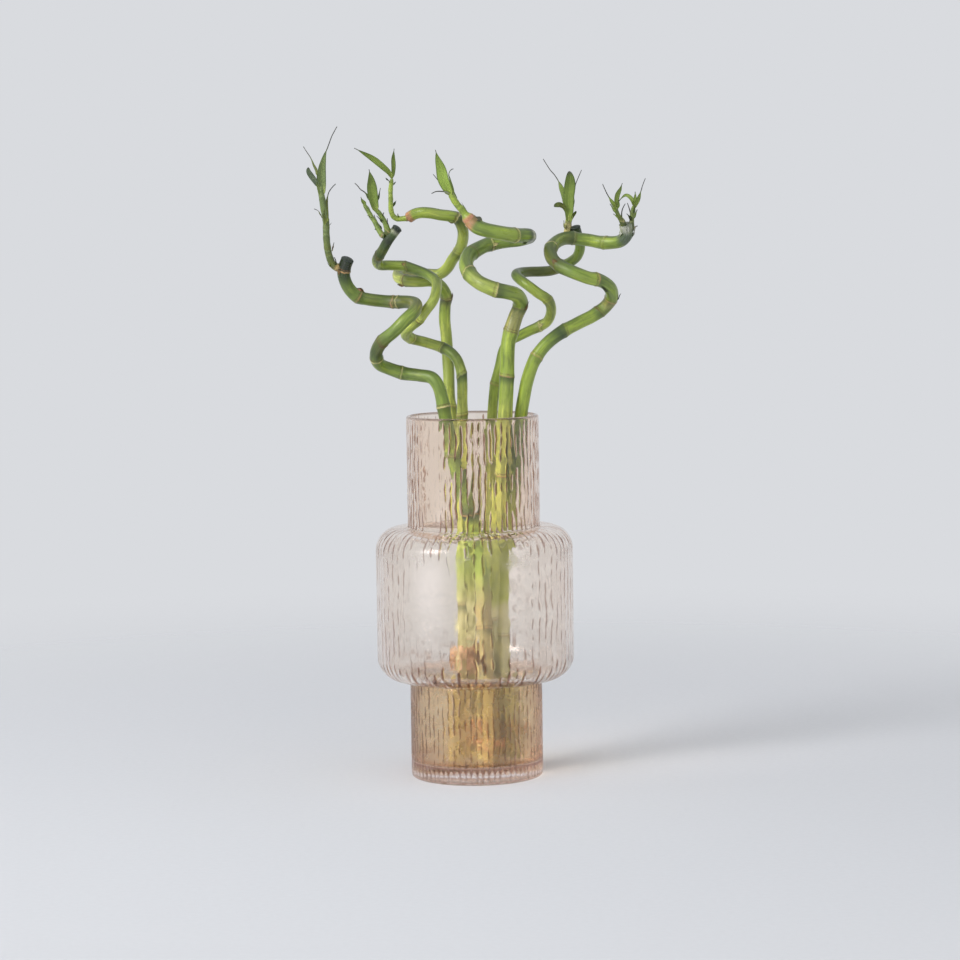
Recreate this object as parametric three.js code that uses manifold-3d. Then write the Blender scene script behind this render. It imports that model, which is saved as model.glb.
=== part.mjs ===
// A lucky bamboo: six spiral canes with leafy shoots, standing in water in a ribbed glass vase.
// Millimetres, +Z up. The origin is the centre of the vase's underside.

import * as THREE from "three";
import { mergeVertices } from "three/addons/utils/BufferGeometryUtils.js";
import Module from "manifold-3d";

const wasm = await Module();
wasm.setup();

// Vase: a foot, a wide belly and a neck, each a short cylinder
const VASE_HEIGHT = 280;
const FOOT_RADIUS = 51;
const FOOT_TOP = 76;
const BELLY_RADIUS = 76;
const BELLY_TOP = 194;
const NECK_RADIUS = 51;
const LOW_CORNER = 18; // radius of the belly's lower corner
const HIGH_CORNER = 17; // radius of the belly's upper corner
const WALL = 4.5; // glass of the foot and the belly
const NECK_WALL = 3.5;
const FLOOR = 13; // top of the thick glass base
const EDGE = 3; // rounding of the bottom edge, outside and in
const RIM = 1.3; // rounding of the lip
const CREASE = 1; // height of the creases where the belly meets the foot and the neck
const HOLLOW_SIDES = 36; // facets of the smooth inside

// Ribs of the pressed glass
const RIBS = 42;
const RIB_DEPTH = 0.8; // out and in from the mean wall
const RIB_FADE = 8; // height over which they rise from the bottom edge and the lip
const RIB_SWAY = 0.35; // sideways, as a share of one rib's width
const RIB_SWAY_LENGTH = 15; // mm of height for one radian of sway

// Water
const WATER_LEVEL = 77.5; // where the straight inside of the foot ends
const CLEARANCE = 0.3; // gap that touching pieces keep

// Canes
const CANE_SIDES = 7;
const STRAIGHT_STEP = 32; // mm between cross-sections inside the vase
const CURVED_STEP = 8.5; // and above it
const NODE_SWELL = 1.13; // a joint ring's radius over the cane's
const NODE_HALF = 1.8; // half the height of a joint ring

// Leaves, scales and roots
const BLADE = 0.9; // thickness of a blade at its rib
const LEAF_OUTLINE = [[0, 0.35], [0.3, 0.9], [0.55, 1], [0.8, 0.6]]; // shares of the length and of the width
const SCALE_OUTLINE = [[0, 0.6], [0.5, 1]];
const SCALE_WIDTH = 2.6; // of the small pointed scales round a shoot
const STEM_STEP = 4.5; // mm between cross-sections of a shoot's stem
const ROOT_RADIUS = 0.8;
const ROOT_COUNT = 5;
const ROOT_SPREAD = 4; // how far the roots reach out from a cane's skin
const WAX_HEIGHT = 1.8; // of the wax on a cut end

// Each cane: its radius at the foot and at the tip, the joint rings' distances from the foot, the root tufts
// as [top, length] along the cane, the wax over a cut end, and the middle line from the foot to the tip.
const CANES = {
  cane_front_left: {
    radius: 5.1,
    tipRadius: 4.8,
    color: 0x5f8a2e,
    joints: [105, 193, 238, 278, 328, 356, 375, 425, 444, 474, 501],
    roots: [[22, 18]],
    wax: true,
    path: [
      [9, -13, 13.6], [9, -17, 70], [7, -19, 119], [5, -20, 165], [-3, -21, 205], [-11, -23, 235],
      [-17, -24, 262], [-20.5, -25, 280], [-23, -26, 295], [-25.5, -27, 304], [-30, -25, 310],
      [-40, -20, 312], [-51.5, -16, 313.5], [-63, -19, 317.5], [-70, -25, 321.5], [-72, -33, 329.5],
      [-67.5, -41, 338.5], [-57.5, -47, 347], [-49.5, -48, 355], [-42.5, -42, 361.5], [-41.5, -33, 366.5],
      [-47.5, -24, 368], [-57.5, -18, 368], [-69, -16, 369], [-78.5, -19, 370.5], [-85.5, -22, 372.5],
      [-92.5, -28, 380], [-95.5, -33, 389.5], [-94.5, -35, 395.5], [-92.5, -37, 400.5],
    ],
  },
  cane_left: {
    radius: 4.3,
    tipRadius: 3.8,
    color: 0x93ad48,
    joints: [120, 224, 267, 298, 326, 354, 389, 462, 501],
    roots: [[100, 36]],
    wax: true,
    path: [
      [-13, -5, 13.6], [-12, -5, 70], [-11, -4, 119], [-10, -3, 165], [-9, -3, 215], [-8, -3, 255],
      [-7.5, -3, 291], [-7.5, -3, 309.5], [-8.5, -2, 315.5], [-11, 0, 322.5], [-16.5, 4, 328.5],
      [-23.5, 8, 332], [-35.5, 9, 336], [-45.5, 4, 339], [-50, -6, 342.5], [-47, -16, 348], [-40, -23, 354],
      [-33.5, -26, 362], [-28.5, -24, 368.5], [-26, -17, 376], [-26, -7, 382.5], [-31.5, 2, 387.5],
      [-39.5, 7, 391], [-50, 8, 394.5], [-61.5, 6, 395.5], [-69.5, 0, 396], [-71, -8, 400],
      [-66.5, -17, 407], [-62, -22, 414.5], [-55, -24, 423.5],
    ],
  },
  cane_rear_left: {
    radius: 4.7,
    tipRadius: 4.3,
    color: 0x86a648,
    joints: [90, 190, 273, 359, 401, 483, 518],
    roots: [[24, 18]],
    wax: false,
    path: [
      [-3, 12, 13.6], [-3, 13, 80], [-4, 17, 140], [-8, 21, 200], [-13, 24, 250], [-16, 26, 280.5],
      [-17.5, 28, 290], [-18, 31, 313], [-19.5, 35, 340.5], [-20.5, 37, 352], [-20, 37, 363],
      [-19, 34, 370.5], [-23, 28, 378.5], [-29.5, 23, 382.5], [-39, 20, 382.5], [-48, 22, 383],
      [-55.5, 30, 385.5], [-55, 40, 389.5], [-45.5, 48, 389], [-34, 51, 387.5], [-24, 49, 387.5],
      [-18, 45, 392], [-13.5, 41, 399], [-8.5, 37, 405.5], [-5.5, 32, 414], [-5.5, 26, 422.5],
      [-9.5, 20, 430.5], [-15, 16, 432.5], [-22, 14, 433.5], [-29.5, 13, 435], [-36.5, 14, 435.5],
      [-42, 17, 434.5], [-46.5, 20, 432],
    ],
  },
  cane_centre: {
    radius: 5.8,
    tipRadius: 5.5,
    color: 0x7fa63c,
    joints: [110, 223, 299, 333, 355, 389, 417, 445, 466, 527],
    roots: [[20, 16]],
    wax: false,
    path: [
      [4, 0, 13.6], [9, 0, 80], [13, -4, 140], [19, -9, 200], [23, -15, 250], [25, -18, 278.5],
      [26, -19, 296], [27, -19, 313.5], [28, -18, 334], [30.5, -17, 344.5], [34, -16, 355], [38, -19, 365],
      [35, -28, 372], [27, -37, 375], [20, -41, 376.5], [13.5, -42, 379], [6.5, -39, 382.5],
      [0, -31, 388.5], [-3, -20, 396], [-0.5, -10, 402.5], [7, -2, 407.5], [14.5, 3, 410.5], [27, 4, 413],
      [37.5, 0, 414], [45, -10, 416], [43.5, -20, 417], [33.5, -32, 417.5], [23, -39, 419.5],
      [11.5, -41, 422], [5.5, -40, 424.5], [0.5, -38, 429],
    ],
  },
  cane_rear_right: {
    radius: 4.1,
    tipRadius: 3.9,
    color: 0x83a83e,
    joints: [100, 229, 289, 352, 385, 473],
    roots: [[24, 18]],
    wax: true,
    path: [
      [12, 14, 13.6], [12, 15, 80], [12, 17, 140], [13, 19, 200], [14, 20, 250], [15.5, 20, 278.5],
      [16.5, 20, 290], [18, 20, 301.5], [22, 20, 317], [25, 22, 328.5], [30, 25, 335.5], [37, 27, 339],
      [45.5, 28, 343], [53.5, 27, 346.5], [59, 24, 350], [62, 17, 357.5], [61, 10, 364.5], [58, 6, 368.5],
      [52, 4, 372.5], [45, 5, 378], [39, 10, 382.5], [35.5, 19, 386.5], [38.5, 28, 388], [46.5, 34, 388.5],
      [54, 36, 388.5], [62, 36, 389], [69, 34, 391], [75, 30, 394], [79.5, 26, 397], [83, 22, 400.5],
      [85, 17, 407.5], [83.5, 14, 414.5], [81.5, 12, 422],
    ],
  },
  cane_front_right: {
    radius: 5.0,
    tipRadius: 4.9,
    color: 0x6f9a34,
    joints: [95, 219, 316, 346, 377, 392, 423, 456, 480, 505, 531],
    roots: [[22, 18]],
    wax: false,
    path: [
      [22, 3, 13.6], [21, 5, 60], [21, 7, 119], [24, 6, 175], [29.5, 0, 220], [35, -7, 258],
      [37.5, -12, 281.5], [39.5, -14, 293], [42.5, -16, 307], [48, -18, 322], [55.5, -18, 332.5],
      [66.5, -16, 341.5], [82.5, -12, 350], [94, -9, 355.5], [103.5, -9, 362.5], [107.5, -15, 369.5],
      [106.5, -23, 375.5], [102.5, -29, 380], [96.5, -34, 383], [89.5, -38, 384.5], [81.5, -40, 387.5],
      [74.5, -38, 390.5], [67.5, -33, 394], [62, -25, 400], [61.5, -16, 406.5], [66, -8, 411.5],
      [71.5, -3, 414], [77.5, 0, 414.5], [84.5, 2, 413.5], [92, 3, 412.5], [99.5, 1, 411],
      [108, -4, 410.5], [115.5, -9, 412], [119.5, -13, 417], [118.5, -16, 424.5],
    ],
  },
};

// Each shoot: the cane it grows from, its stem, its leaves as a width, the way they face (degrees round the
// upright, 0 is the front) and a middle line, and its scales as middle lines. Every stem starts in its cane.
const SHOOTS = {
  shoot_front_left: {
    cane: "cane_front_left",
    radii: [2.8, 2.2],
    stem: [
      [-95, -35, 394], [-100.5, -36, 395.5], [-105.5, -37, 400], [-107.5, -38, 416], [-108, -38, 432.5],
      [-110.5, -37, 444.5], [-112.5, -36, 461.5],
    ],
    leaves: [
      {
        width: 7.5,
        face: 20,
        line: [[-112.5, -36, 460], [-109.5, -38, 476.5], [-104.5, -41, 486], [-98, -46, 500.5]],
      },
      { width: 3.6, face: -40, line: [[-113, -36, 461], [-118.5, -30, 476], [-125, -26, 486]] },
      { width: 4.8, face: -25, line: [[-113, -37, 456], [-117.5, -41, 464], [-120, -43, 471.5]] },
      { width: 3.4, face: 35, line: [[-108, -38, 435.5], [-106.5, -33, 447.5], [-101, -28, 458]] },
    ],
    scales: [
      [[-108.5, -38, 431.5], [-112, -41, 436], [-116, -43, 439.5]],
      [[-107.5, -38, 424], [-105, -36, 428], [-103.5, -35, 431.5]],
      [[-107, -38, 410], [-103.5, -38, 413], [-101.5, -38, 417.5]],
      [[-105.5, -37, 398.5], [-102.5, -40, 400], [-100.5, -42, 404]],
    ],
  },
  shoot_left_tall: {
    cane: "cane_left",
    radii: [2.2, 1.6],
    stem: [[-59, -23, 418], [-62.5, -25, 421], [-67.5, -27, 434], [-70, -28, 441.5]],
    leaves: [
      { width: 8.6, face: 15, line: [[-70, -28, 440], [-71, -30, 453], [-74.5, -34, 468.5]] },
      { width: 3, face: -30, line: [[-69.5, -28, 440], [-68.5, -26, 447.5], [-67.5, -23, 454.5]] },
      { width: 2.6, face: -20, line: [[-70, -28, 439], [-78, -24, 449.5], [-87, -19, 458]] },
    ],
    scales: [
      [[-66, -27, 430.5], [-63, -29, 435], [-62, -30, 439.5]],
      [[-68, -27, 435.5], [-72, -29, 439.5], [-73.5, -30, 444]],
      [[-64, -26, 425], [-60.5, -26, 429], [-59, -26, 433.5]],
    ],
  },
  shoot_left_short: {
    cane: "cane_left",
    radii: [2.2, 1.5],
    stem: [[-60.5, -22, 413.5], [-66.5, -19, 417.5], [-72, -16, 428], [-77, -13, 440.5]],
    leaves: [{ width: 3.6, face: 30, line: [[-76.5, -13, 439], [-79, -12, 444], [-82, -10, 449]] }],
    scales: [
      [[-74, -15, 433.5], [-78.5, -14, 436.5], [-81.5, -13, 442]],
      [[-71, -17, 426], [-75.5, -18, 429.5], [-77.5, -19, 435]],
      [[-71, -17, 425], [-68.5, -14, 429.5], [-69, -12, 435.5]],
      [[-74, -15, 433], [-72, -12, 437], [-73, -11, 442.5]],
    ],
  },
  shoot_rear_left: {
    cane: "cane_rear_left",
    radii: [2.7, 1.6],
    stem: [
      [-45, 19, 432], [-50.5, 20, 431], [-56.5, 20, 431], [-60, 20, 434.5], [-61, 20, 448], [-59.5, 21, 461],
    ],
    leaves: [
      {
        width: 6.8,
        face: -20,
        line: [[-59.5, 21, 459.5], [-61.5, 19, 468], [-69.5, 15, 475.5], [-87.5, 9, 485.5]],
      },
      { width: 5.6, face: 40, line: [[-59.5, 21, 459.5], [-58.5, 24, 471.5], [-57.5, 28, 484.5]] },
    ],
    scales: [
      [[-60, 21, 455.5], [-62.5, 18, 458.5], [-63.5, 16, 464.5]],
      [[-60, 21, 453], [-57.5, 22, 456], [-56.5, 23, 461]],
      [[-60.5, 20, 439.5], [-57.5, 22, 441.5], [-57, 23, 446]],
    ],
  },
  shoot_centre: {
    cane: "cane_centre",
    radii: [2.9, 2.2],
    stem: [[2.5, -38, 428], [-2.5, -39, 432], [-5.5, -40, 438.5], [-10, -41, 444.5], [-14, -42, 453]],
    leaves: [
      {
        width: 9,
        face: -20,
        line: [[-14, -42, 450.5], [-18.5, -45, 463.5], [-21.5, -48, 472], [-24, -52, 482]],
      },
      { width: 4, face: 35, line: [[-12, -41, 447], [-12, -36, 458], [-13, -31, 468]] },
      { width: 2.6, face: 0, line: [[-14.5, -42, 450.5], [-21.5, -46, 451.5], [-27.5, -50, 449.5]] },
    ],
    scales: [
      [[-16, -43, 455], [-22.5, -44, 459.5], [-26.5, -46, 464]],
      [[-8.5, -40, 440], [-4.5, -38, 444.5], [-5, -37, 449.5]],
    ],
  },
  shoot_rear_right: {
    cane: "cane_rear_right",
    radii: [2.5, 2.2],
    stem: [[82, 15, 416], [76.5, 13, 419.5], [75, 12, 426.5], [74.5, 12, 433.5], [74.5, 12, 440.5]],
    leaves: [
      { width: 8.8, face: 10, line: [[74.5, 12, 437.5], [76, 9, 452], [77, 5, 465]] },
      {
        width: 4.8,
        face: -30,
        line: [[74, 12, 437.5], [68.5, 17, 451.5], [63.5, 22, 463.5], [57.5, 25, 475.5]],
      },
      { width: 4, face: 35, line: [[75, 12, 438], [81, 17, 452.5], [87, 22, 466]] },
      { width: 4, face: -20, line: [[74.5, 12, 433], [69.5, 9, 437.5], [66, 7, 439.5]] },
    ],
    scales: [
      [[75, 12, 428], [78, 10, 430.5], [82.5, 9, 434.5]],
      [[75, 12, 423.5], [72, 10, 427.5], [71, 9, 432]],
    ],
  },
  shoot_front_right_inner: {
    cane: "cane_front_right",
    radii: [1.9, 1.5],
    stem: [[117.5, -17, 423], [116, -19, 428.5], [112, -21, 435.5], [110, -22, 443.5]],
    leaves: [
      { width: 3.6, face: 25, line: [[110, -22, 441.5], [112, -23, 448], [115.5, -26, 454.5]] },
      { width: 3.6, face: -25, line: [[110, -22, 441.5], [105, -26, 449.5], [101.5, -29, 454.5]] },
    ],
    scales: [
      [[111.5, -21, 437.5], [107.5, -23, 438.5], [104.5, -25, 441.5]],
      [[113, -21, 434], [109.5, -19, 434], [107.5, -18, 437]],
      [[115, -19, 430.5], [116, -21, 435], [115, -22, 440]],
    ],
  },
  shoot_front_right_outer: {
    cane: "cane_front_right",
    radii: [2.1, 1.5],
    stem: [[119.5, -14, 421], [123, -13, 427], [125.5, -12, 435], [126, -12, 445]],
    leaves: [
      { width: 4, face: 25, line: [[126, -12, 442.5], [129, -14, 451], [134, -16, 458.5]] },
      { width: 3, face: -40, line: [[126, -12, 442.5], [126, -9, 450.5], [125, -6, 455.5]] },
      { width: 3.2, face: 0, line: [[125.5, -12, 439.5], [120.5, -8, 447], [114, -5, 443]] },
    ],
    scales: [
      [[122, -13, 425.5], [120, -10, 429], [120, -9, 434.5]],
      [[123.5, -13, 429], [128, -14, 431.5], [129, -15, 436.5]],
      [[125, -12, 434.5], [128, -12, 438], [129.5, -12, 442.5]],
    ],
  },
};

const UP = new THREE.Vector3(0, 0, 1);

// A closed geometry as a solid for joining and cutting
function solidOf(geometry) {
  const bare = geometry.clone();
  bare.deleteAttribute("normal");
  bare.deleteAttribute("uv");
  const merged = mergeVertices(bare, 1e-3);
  const vertProperties = new Float32Array(merged.getAttribute("position").array);
  const triVerts = new Uint32Array(merged.index.array);
  return new wasm.Manifold(new wasm.Mesh({ numProp: 3, vertProperties, triVerts }));
}

function geometryOf(solid) {
  const mesh = solid.getMesh();
  const geometry = new THREE.BufferGeometry();
  geometry.setAttribute("position", new THREE.BufferAttribute(mesh.vertProperties, 3));
  geometry.setIndex(new THREE.BufferAttribute(mesh.triVerts, 1));
  geometry.computeVertexNormals();
  return geometry;
}

// A repeatable stand-in for chance: a share from 0 to 1 for each whole number
function share(number) {
  return (Math.sin(number * 12.9898 + 4.1) * 43758.5453) % 1 * 0.5 + 0.5;
}

// A quarter round in a lathe outline, from one angle to another in degrees
function corner(centreR, centreZ, radius, from, to, steps) {
  const points = [];
  for (let i = 0; i <= steps; i += 1) {
    const angle = THREE.MathUtils.degToRad(from + ((to - from) * i) / steps);
    points.push([centreR + radius * Math.cos(angle), centreZ + radius * Math.sin(angle)]);
  }
  return points;
}

// Points up a straight wall, its ends left out
function wall(radius, low, high, steps) {
  const points = [];
  for (let i = 1; i < steps; i += 1) {
    points.push([radius, low + ((high - low) * i) / steps]);
  }
  return points;
}

function turned(outline, segments) {
  const points = outline.map(([radius, height]) => new THREE.Vector2(radius, height));
  return new THREE.LatheGeometry(points, segments).rotateX(Math.PI / 2);
}

// The vase's outside, from the centre of its underside to the centre of its mouth
function outsideOutline() {
  const lowCentre = BELLY_RADIUS - LOW_CORNER;
  const highCentre = BELLY_RADIUS - HIGH_CORNER;
  return [
    [0, 0],
    ...corner(FOOT_RADIUS - EDGE, EDGE, EDGE, -90, 0, 2),
    ...wall(FOOT_RADIUS, EDGE, FOOT_TOP, 4),
    [FOOT_RADIUS, FOOT_TOP - CREASE],
    ...corner(lowCentre, FOOT_TOP + LOW_CORNER, LOW_CORNER, -90, 0, 3),
    ...wall(BELLY_RADIUS, FOOT_TOP + LOW_CORNER, BELLY_TOP - HIGH_CORNER, 4),
    ...corner(highCentre, BELLY_TOP - HIGH_CORNER, HIGH_CORNER, 0, 90, 3),
    [NECK_RADIUS, BELLY_TOP + CREASE],
    ...wall(NECK_RADIUS, BELLY_TOP, VASE_HEIGHT - RIM, 4),
    ...corner(NECK_RADIUS - RIM, VASE_HEIGHT - RIM, RIM, 0, 90, 2),
    [0, VASE_HEIGHT],
  ];
}

// The inside of the foot from its floor up, drawn in by a gap
function footHollow(gap) {
  const inside = FOOT_RADIUS - WALL - gap;
  return [[0, FLOOR + gap], ...corner(inside - EDGE, FLOOR + gap + EDGE, EDGE, -90, 0, 2)];
}

// The vase's hollow, open past its mouth
function hollowOutline() {
  const lowCentre = BELLY_RADIUS - LOW_CORNER;
  const highCentre = BELLY_RADIUS - HIGH_CORNER;
  const top = VASE_HEIGHT + EDGE;
  return [
    ...footHollow(0),
    [FOOT_RADIUS - WALL, FOOT_TOP + WALL - EDGE],
    ...corner(lowCentre, FOOT_TOP + LOW_CORNER, LOW_CORNER - WALL, -90, 0, 3),
    ...corner(highCentre, BELLY_TOP - HIGH_CORNER, HIGH_CORNER - WALL, 0, 90, 3),
    [NECK_RADIUS - NECK_WALL, BELLY_TOP - WALL + EDGE],
    [NECK_RADIUS - NECK_WALL, VASE_HEIGHT - RIM],
    [NECK_RADIUS - NECK_WALL + RIM / 2, VASE_HEIGHT],
    [NECK_RADIUS - NECK_WALL + RIM / 2, top],
    [0, top],
  ];
}

// Presses the wavy upright ribs into a turned wall: each edge moves out or in along the wall's normal, and the
// lines sway sideways with height. The rim and the bottom edge stay round.
function pressRibs(geometry) {
  const position = geometry.getAttribute("position");
  const normal = geometry.getAttribute("normal");
  const point = new THREE.Vector3();
  const out = new THREE.Vector3();
  for (let i = 0; i < position.count; i += 1) {
    point.fromBufferAttribute(position, i);
    out.fromBufferAttribute(normal, i);
    const fromEdge = Math.min(point.z - EDGE, VASE_HEIGHT - RIM - point.z);
    if (fromEdge <= 0) continue;
    const line = Math.round((Math.atan2(point.y, point.x) / Math.PI + 1) * RIBS) % (2 * RIBS);
    const fade = Math.min(1, fromEdge / RIB_FADE);
    const depth = RIB_DEPTH * (0.7 + 0.3 * share(line)) * (line % 2 === 0 ? 1 : -1) * fade;
    const sway = Math.sin(point.z / RIB_SWAY_LENGTH + 3 * Math.sin((line * Math.PI) / RIBS));
    point.addScaledVector(out, depth);
    point.applyAxisAngle(UP, ((2 * Math.PI) / RIBS) * RIB_SWAY * sway * fade);
    position.setXYZ(i, point.x, point.y, point.z);
  }
  return geometry;
}

function vaseGeometry() {
  const outside = solidOf(pressRibs(turned(outsideOutline(), 2 * RIBS)));
  const hollow = solidOf(turned(hollowOutline(), HOLLOW_SIDES));
  return geometryOf(outside.subtract(hollow));
}

function curveThrough(points) {
  const curve = new THREE.CatmullRomCurve3(points.map((p) => new THREE.Vector3(...p)));
  curve.arcLengthDivisions = 600;
  return curve;
}

// A closed tube along a curve. Each station is a distance along the curve with the radius there; a distance
// below zero runs the tube straight on before the curve's start.
function sweep(curve, stations, sides) {
  const length = curve.getLength();
  const positions = [];
  const faces = [];
  const across = new THREE.Vector3(1, 0, 0);
  stations.forEach(({ at, radius }, ring) => {
    const u = THREE.MathUtils.clamp(at / length, 0, 1);
    const along = curve.getTangentAt(u);
    const centre = curve.getPointAt(u).addScaledVector(along, at - u * length);
    across.addScaledVector(along, -across.dot(along)).normalize();
    const upward = new THREE.Vector3().crossVectors(along, across);
    for (let side = 0; side < sides; side += 1) {
      const turn = (2 * Math.PI * side) / sides;
      const rim = centre
        .clone()
        .addScaledVector(across, radius * Math.cos(turn))
        .addScaledVector(upward, radius * Math.sin(turn));
      positions.push(rim.x, rim.y, rim.z);
      if (ring === 0) continue;
      const here = ring * sides + side;
      const next = ring * sides + ((side + 1) % sides);
      faces.push(here - sides, next - sides, next, here - sides, next, here);
    }
  });
  const last = (stations.length - 1) * sides;
  for (let side = 1; side < sides - 1; side += 1) {
    faces.push(0, side + 1, side);
    faces.push(last, last + side, last + side + 1);
  }
  const geometry = new THREE.BufferGeometry();
  geometry.setAttribute("position", new THREE.Float32BufferAttribute(positions, 3));
  geometry.setIndex(faces);
  return geometry;
}

// A cane's cross-sections: far apart in the vase, close above it, with three round each joint ring
function caneStations(cane, curve) {
  const length = curve.getLength();
  const radiusAt = (at) => THREE.MathUtils.lerp(cane.radius, cane.tipRadius, at / length);
  const stations = [];
  for (const joint of cane.joints) {
    stations.push({ at: joint - NODE_HALF, radius: radiusAt(joint) });
    stations.push({ at: joint, radius: radiusAt(joint) * NODE_SWELL });
    stations.push({ at: joint + NODE_HALF, radius: radiusAt(joint) });
  }
  const plain = [0];
  while (plain.at(-1) < length) {
    const height = curve.getPointAt(plain.at(-1) / length).z;
    plain.push(plain.at(-1) + (height < VASE_HEIGHT ? STRAIGHT_STEP : CURVED_STEP));
  }
  plain.pop();
  for (const at of plain) {
    const apart = cane.joints.every((joint) => Math.abs(joint - at) > 2.5 * NODE_HALF);
    if (apart && length - at > CURVED_STEP / 2) stations.push({ at, radius: radiusAt(at) });
  }
  stations.push({ at: length, radius: radiusAt(length) });
  return stations.sort((a, b) => a.at - b.at);
}

// Roots leave a cane at its skin and bend down beside it
function rootTuft(cane, curve, [top, reach], seed) {
  const length = curve.getLength();
  const roots = [];
  for (let i = 0; i < ROOT_COUNT; i += 1) {
    const angle = (2 * Math.PI * (i + 0.6 * share(seed + i))) / ROOT_COUNT;
    const from = top - 6 * share(seed + i + 20);
    const start = curve.getPointAt(from / length);
    const outward = new THREE.Vector3(Math.cos(angle), Math.sin(angle), 0);
    const spread = cane.radius + ROOT_SPREAD * (0.5 + 0.5 * share(seed + i + 40)) - ROOT_RADIUS;
    const fall = reach * (0.6 + 0.4 * share(seed + i + 60));
    const low = Math.max(start.z - fall, FLOOR + 2 * ROOT_RADIUS);
    const line = new THREE.CatmullRomCurve3([
      start,
      start.clone().addScaledVector(outward, cane.radius + 1).add(new THREE.Vector3(0, 0, -2)),
      start.clone().addScaledVector(outward, spread).setZ((start.z + low) / 2),
      start.clone().addScaledVector(outward, spread).setZ(low),
    ]);
    const reached = line.getLength();
    const stations = [0, 0.35, 0.7, 1].map((u) => ({
      at: u * reached,
      radius: ROOT_RADIUS * (1.1 - 0.4 * u),
    }));
    roots.push(solidOf(sweep(line, stations, 4)));
  }
  return roots;
}

function caneGeometry(cane, seed) {
  const curve = curveThrough(cane.path);
  let solid = solidOf(sweep(curve, caneStations(cane, curve), CANE_SIDES));
  for (const tuft of cane.roots) {
    for (const root of rootTuft(cane, curve, tuft, seed)) solid = solid.add(root);
  }
  return geometryOf(solid);
}

// The plain hole that a cane and its roots stand in, open at the water's surface and underside
function caneHole(cane) {
  const curve = curveThrough(cane.path);
  const slack = 1 / Math.cos(Math.PI / CANE_SIDES);
  const plain = (cane.radius * NODE_SWELL + CLEARANCE) * slack;
  const wide = (cane.radius + ROOT_SPREAD + CLEARANCE + 0.5) * slack;
  const [top, reach] = cane.roots[0];
  const bottom = top - reach - 5;
  const inTuft = (at) => at > bottom && at < top + 3;
  const distances = [-3, bottom - 1, bottom + 1, top + 2, top + 4];
  for (const { at } of caneStations(cane, curve)) {
    if (at > 0 && at < WATER_LEVEL + STRAIGHT_STEP) distances.push(at);
  }
  const stations = distances
    .filter((at) => at > -4)
    .sort((a, b) => a - b)
    .map((at) => ({ at, radius: inTuft(at) ? wide : plain }));
  return solidOf(sweep(curve, stations, CANE_SIDES));
}

function waterGeometry() {
  const side = FOOT_RADIUS - WALL - CLEARANCE;
  const outline = [...footHollow(CLEARANCE), [side, WATER_LEVEL], [0, WATER_LEVEL]];
  let water = solidOf(turned(outline, HOLLOW_SIDES));
  for (const cane of Object.values(CANES)) water = water.subtract(caneHole(cane));
  // Neighbouring holes run together and can cut off a sliver between them, which is left out
  const [main] = water.decompose().sort((a, b) => b.volume() - a.volume());
  return geometryOf(main);
}

// A pointed blade along a line, lens-shaped in section: sharp edges, and BLADE thick at the rib. The outline
// lists the share of the full width at shares of the length.
function blade(line, width, face, outline) {
  const curve = new THREE.CatmullRomCurve3(line.map((p) => new THREE.Vector3(...p)));
  const angle = THREE.MathUtils.degToRad(face);
  const front = new THREE.Vector3(Math.sin(angle), -Math.cos(angle), 0);
  const positions = [];
  const faces = [];
  outline.forEach(([u, wide], ring) => {
    const along = curve.getTangentAt(u);
    const side = new THREE.Vector3().crossVectors(front, along).normalize();
    const out = new THREE.Vector3().crossVectors(along, side);
    const centre = curve.getPointAt(u);
    const half = (width * wide) / 2;
    const corners = [
      centre.clone().addScaledVector(side, half),
      centre.clone().addScaledVector(out, BLADE / 2),
      centre.clone().addScaledVector(side, -half),
      centre.clone().addScaledVector(out, -BLADE / 2),
    ];
    corners.forEach((point, edge) => {
      positions.push(point.x, point.y, point.z);
      if (ring === 0) return;
      const here = ring * 4 + edge;
      const next = ring * 4 + ((edge + 1) % 4);
      faces.push(here - 4, next - 4, next, here - 4, next, here);
    });
  });
  const tip = curve.getPointAt(1);
  positions.push(tip.x, tip.y, tip.z);
  const last = (outline.length - 1) * 4;
  for (let edge = 0; edge < 4; edge += 1) {
    faces.push(last + edge, last + ((edge + 1) % 4), last + 4);
  }
  faces.push(0, 2, 1, 0, 3, 2);
  const geometry = new THREE.BufferGeometry();
  geometry.setAttribute("position", new THREE.Float32BufferAttribute(positions, 3));
  geometry.setIndex(faces);
  return geometry;
}

// A shoot's stem with its leaves and scales sunk into it, its foot cut to sit against its cane
function shootGeometry(shoot) {
  const stem = curveThrough(shoot.stem);
  const length = stem.getLength();
  const [thick, thin] = shoot.radii;
  const count = Math.round(length / STEM_STEP);
  const stations = [];
  for (let i = 0; i <= count; i += 1) {
    stations.push({ at: (length * i) / count, radius: THREE.MathUtils.lerp(thick, thin, i / count) });
  }
  stations.push({ at: length + thin, radius: thin * 0.4 });
  let solid = solidOf(sweep(stem, stations, 6));
  for (const leaf of shoot.leaves) {
    solid = solid.add(solidOf(blade(leaf.line, leaf.width, leaf.face, LEAF_OUTLINE)));
  }
  for (const line of shoot.scales) {
    solid = solid.add(solidOf(blade(line, SCALE_WIDTH, 0, SCALE_OUTLINE)));
  }
  const cane = CANES[shoot.cane];
  const curve = curveThrough(cane.path);
  const slack = 1 / Math.cos(Math.PI / CANE_SIDES);
  const around = caneStations(cane, curve)
    .filter(({ at }) => at > curve.getLength() - 60)
    .map(({ at, radius }) => ({ at, radius: (radius + CLEARANCE) * slack }));
  const beyond = cane.wax ? WAX_HEIGHT + 2 * CLEARANCE : CLEARANCE;
  around.push({ at: curve.getLength() + beyond, radius: (cane.tipRadius + CLEARANCE) * slack });
  return geometryOf(solid.subtract(solidOf(sweep(curve, around, CANE_SIDES))));
}

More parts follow.
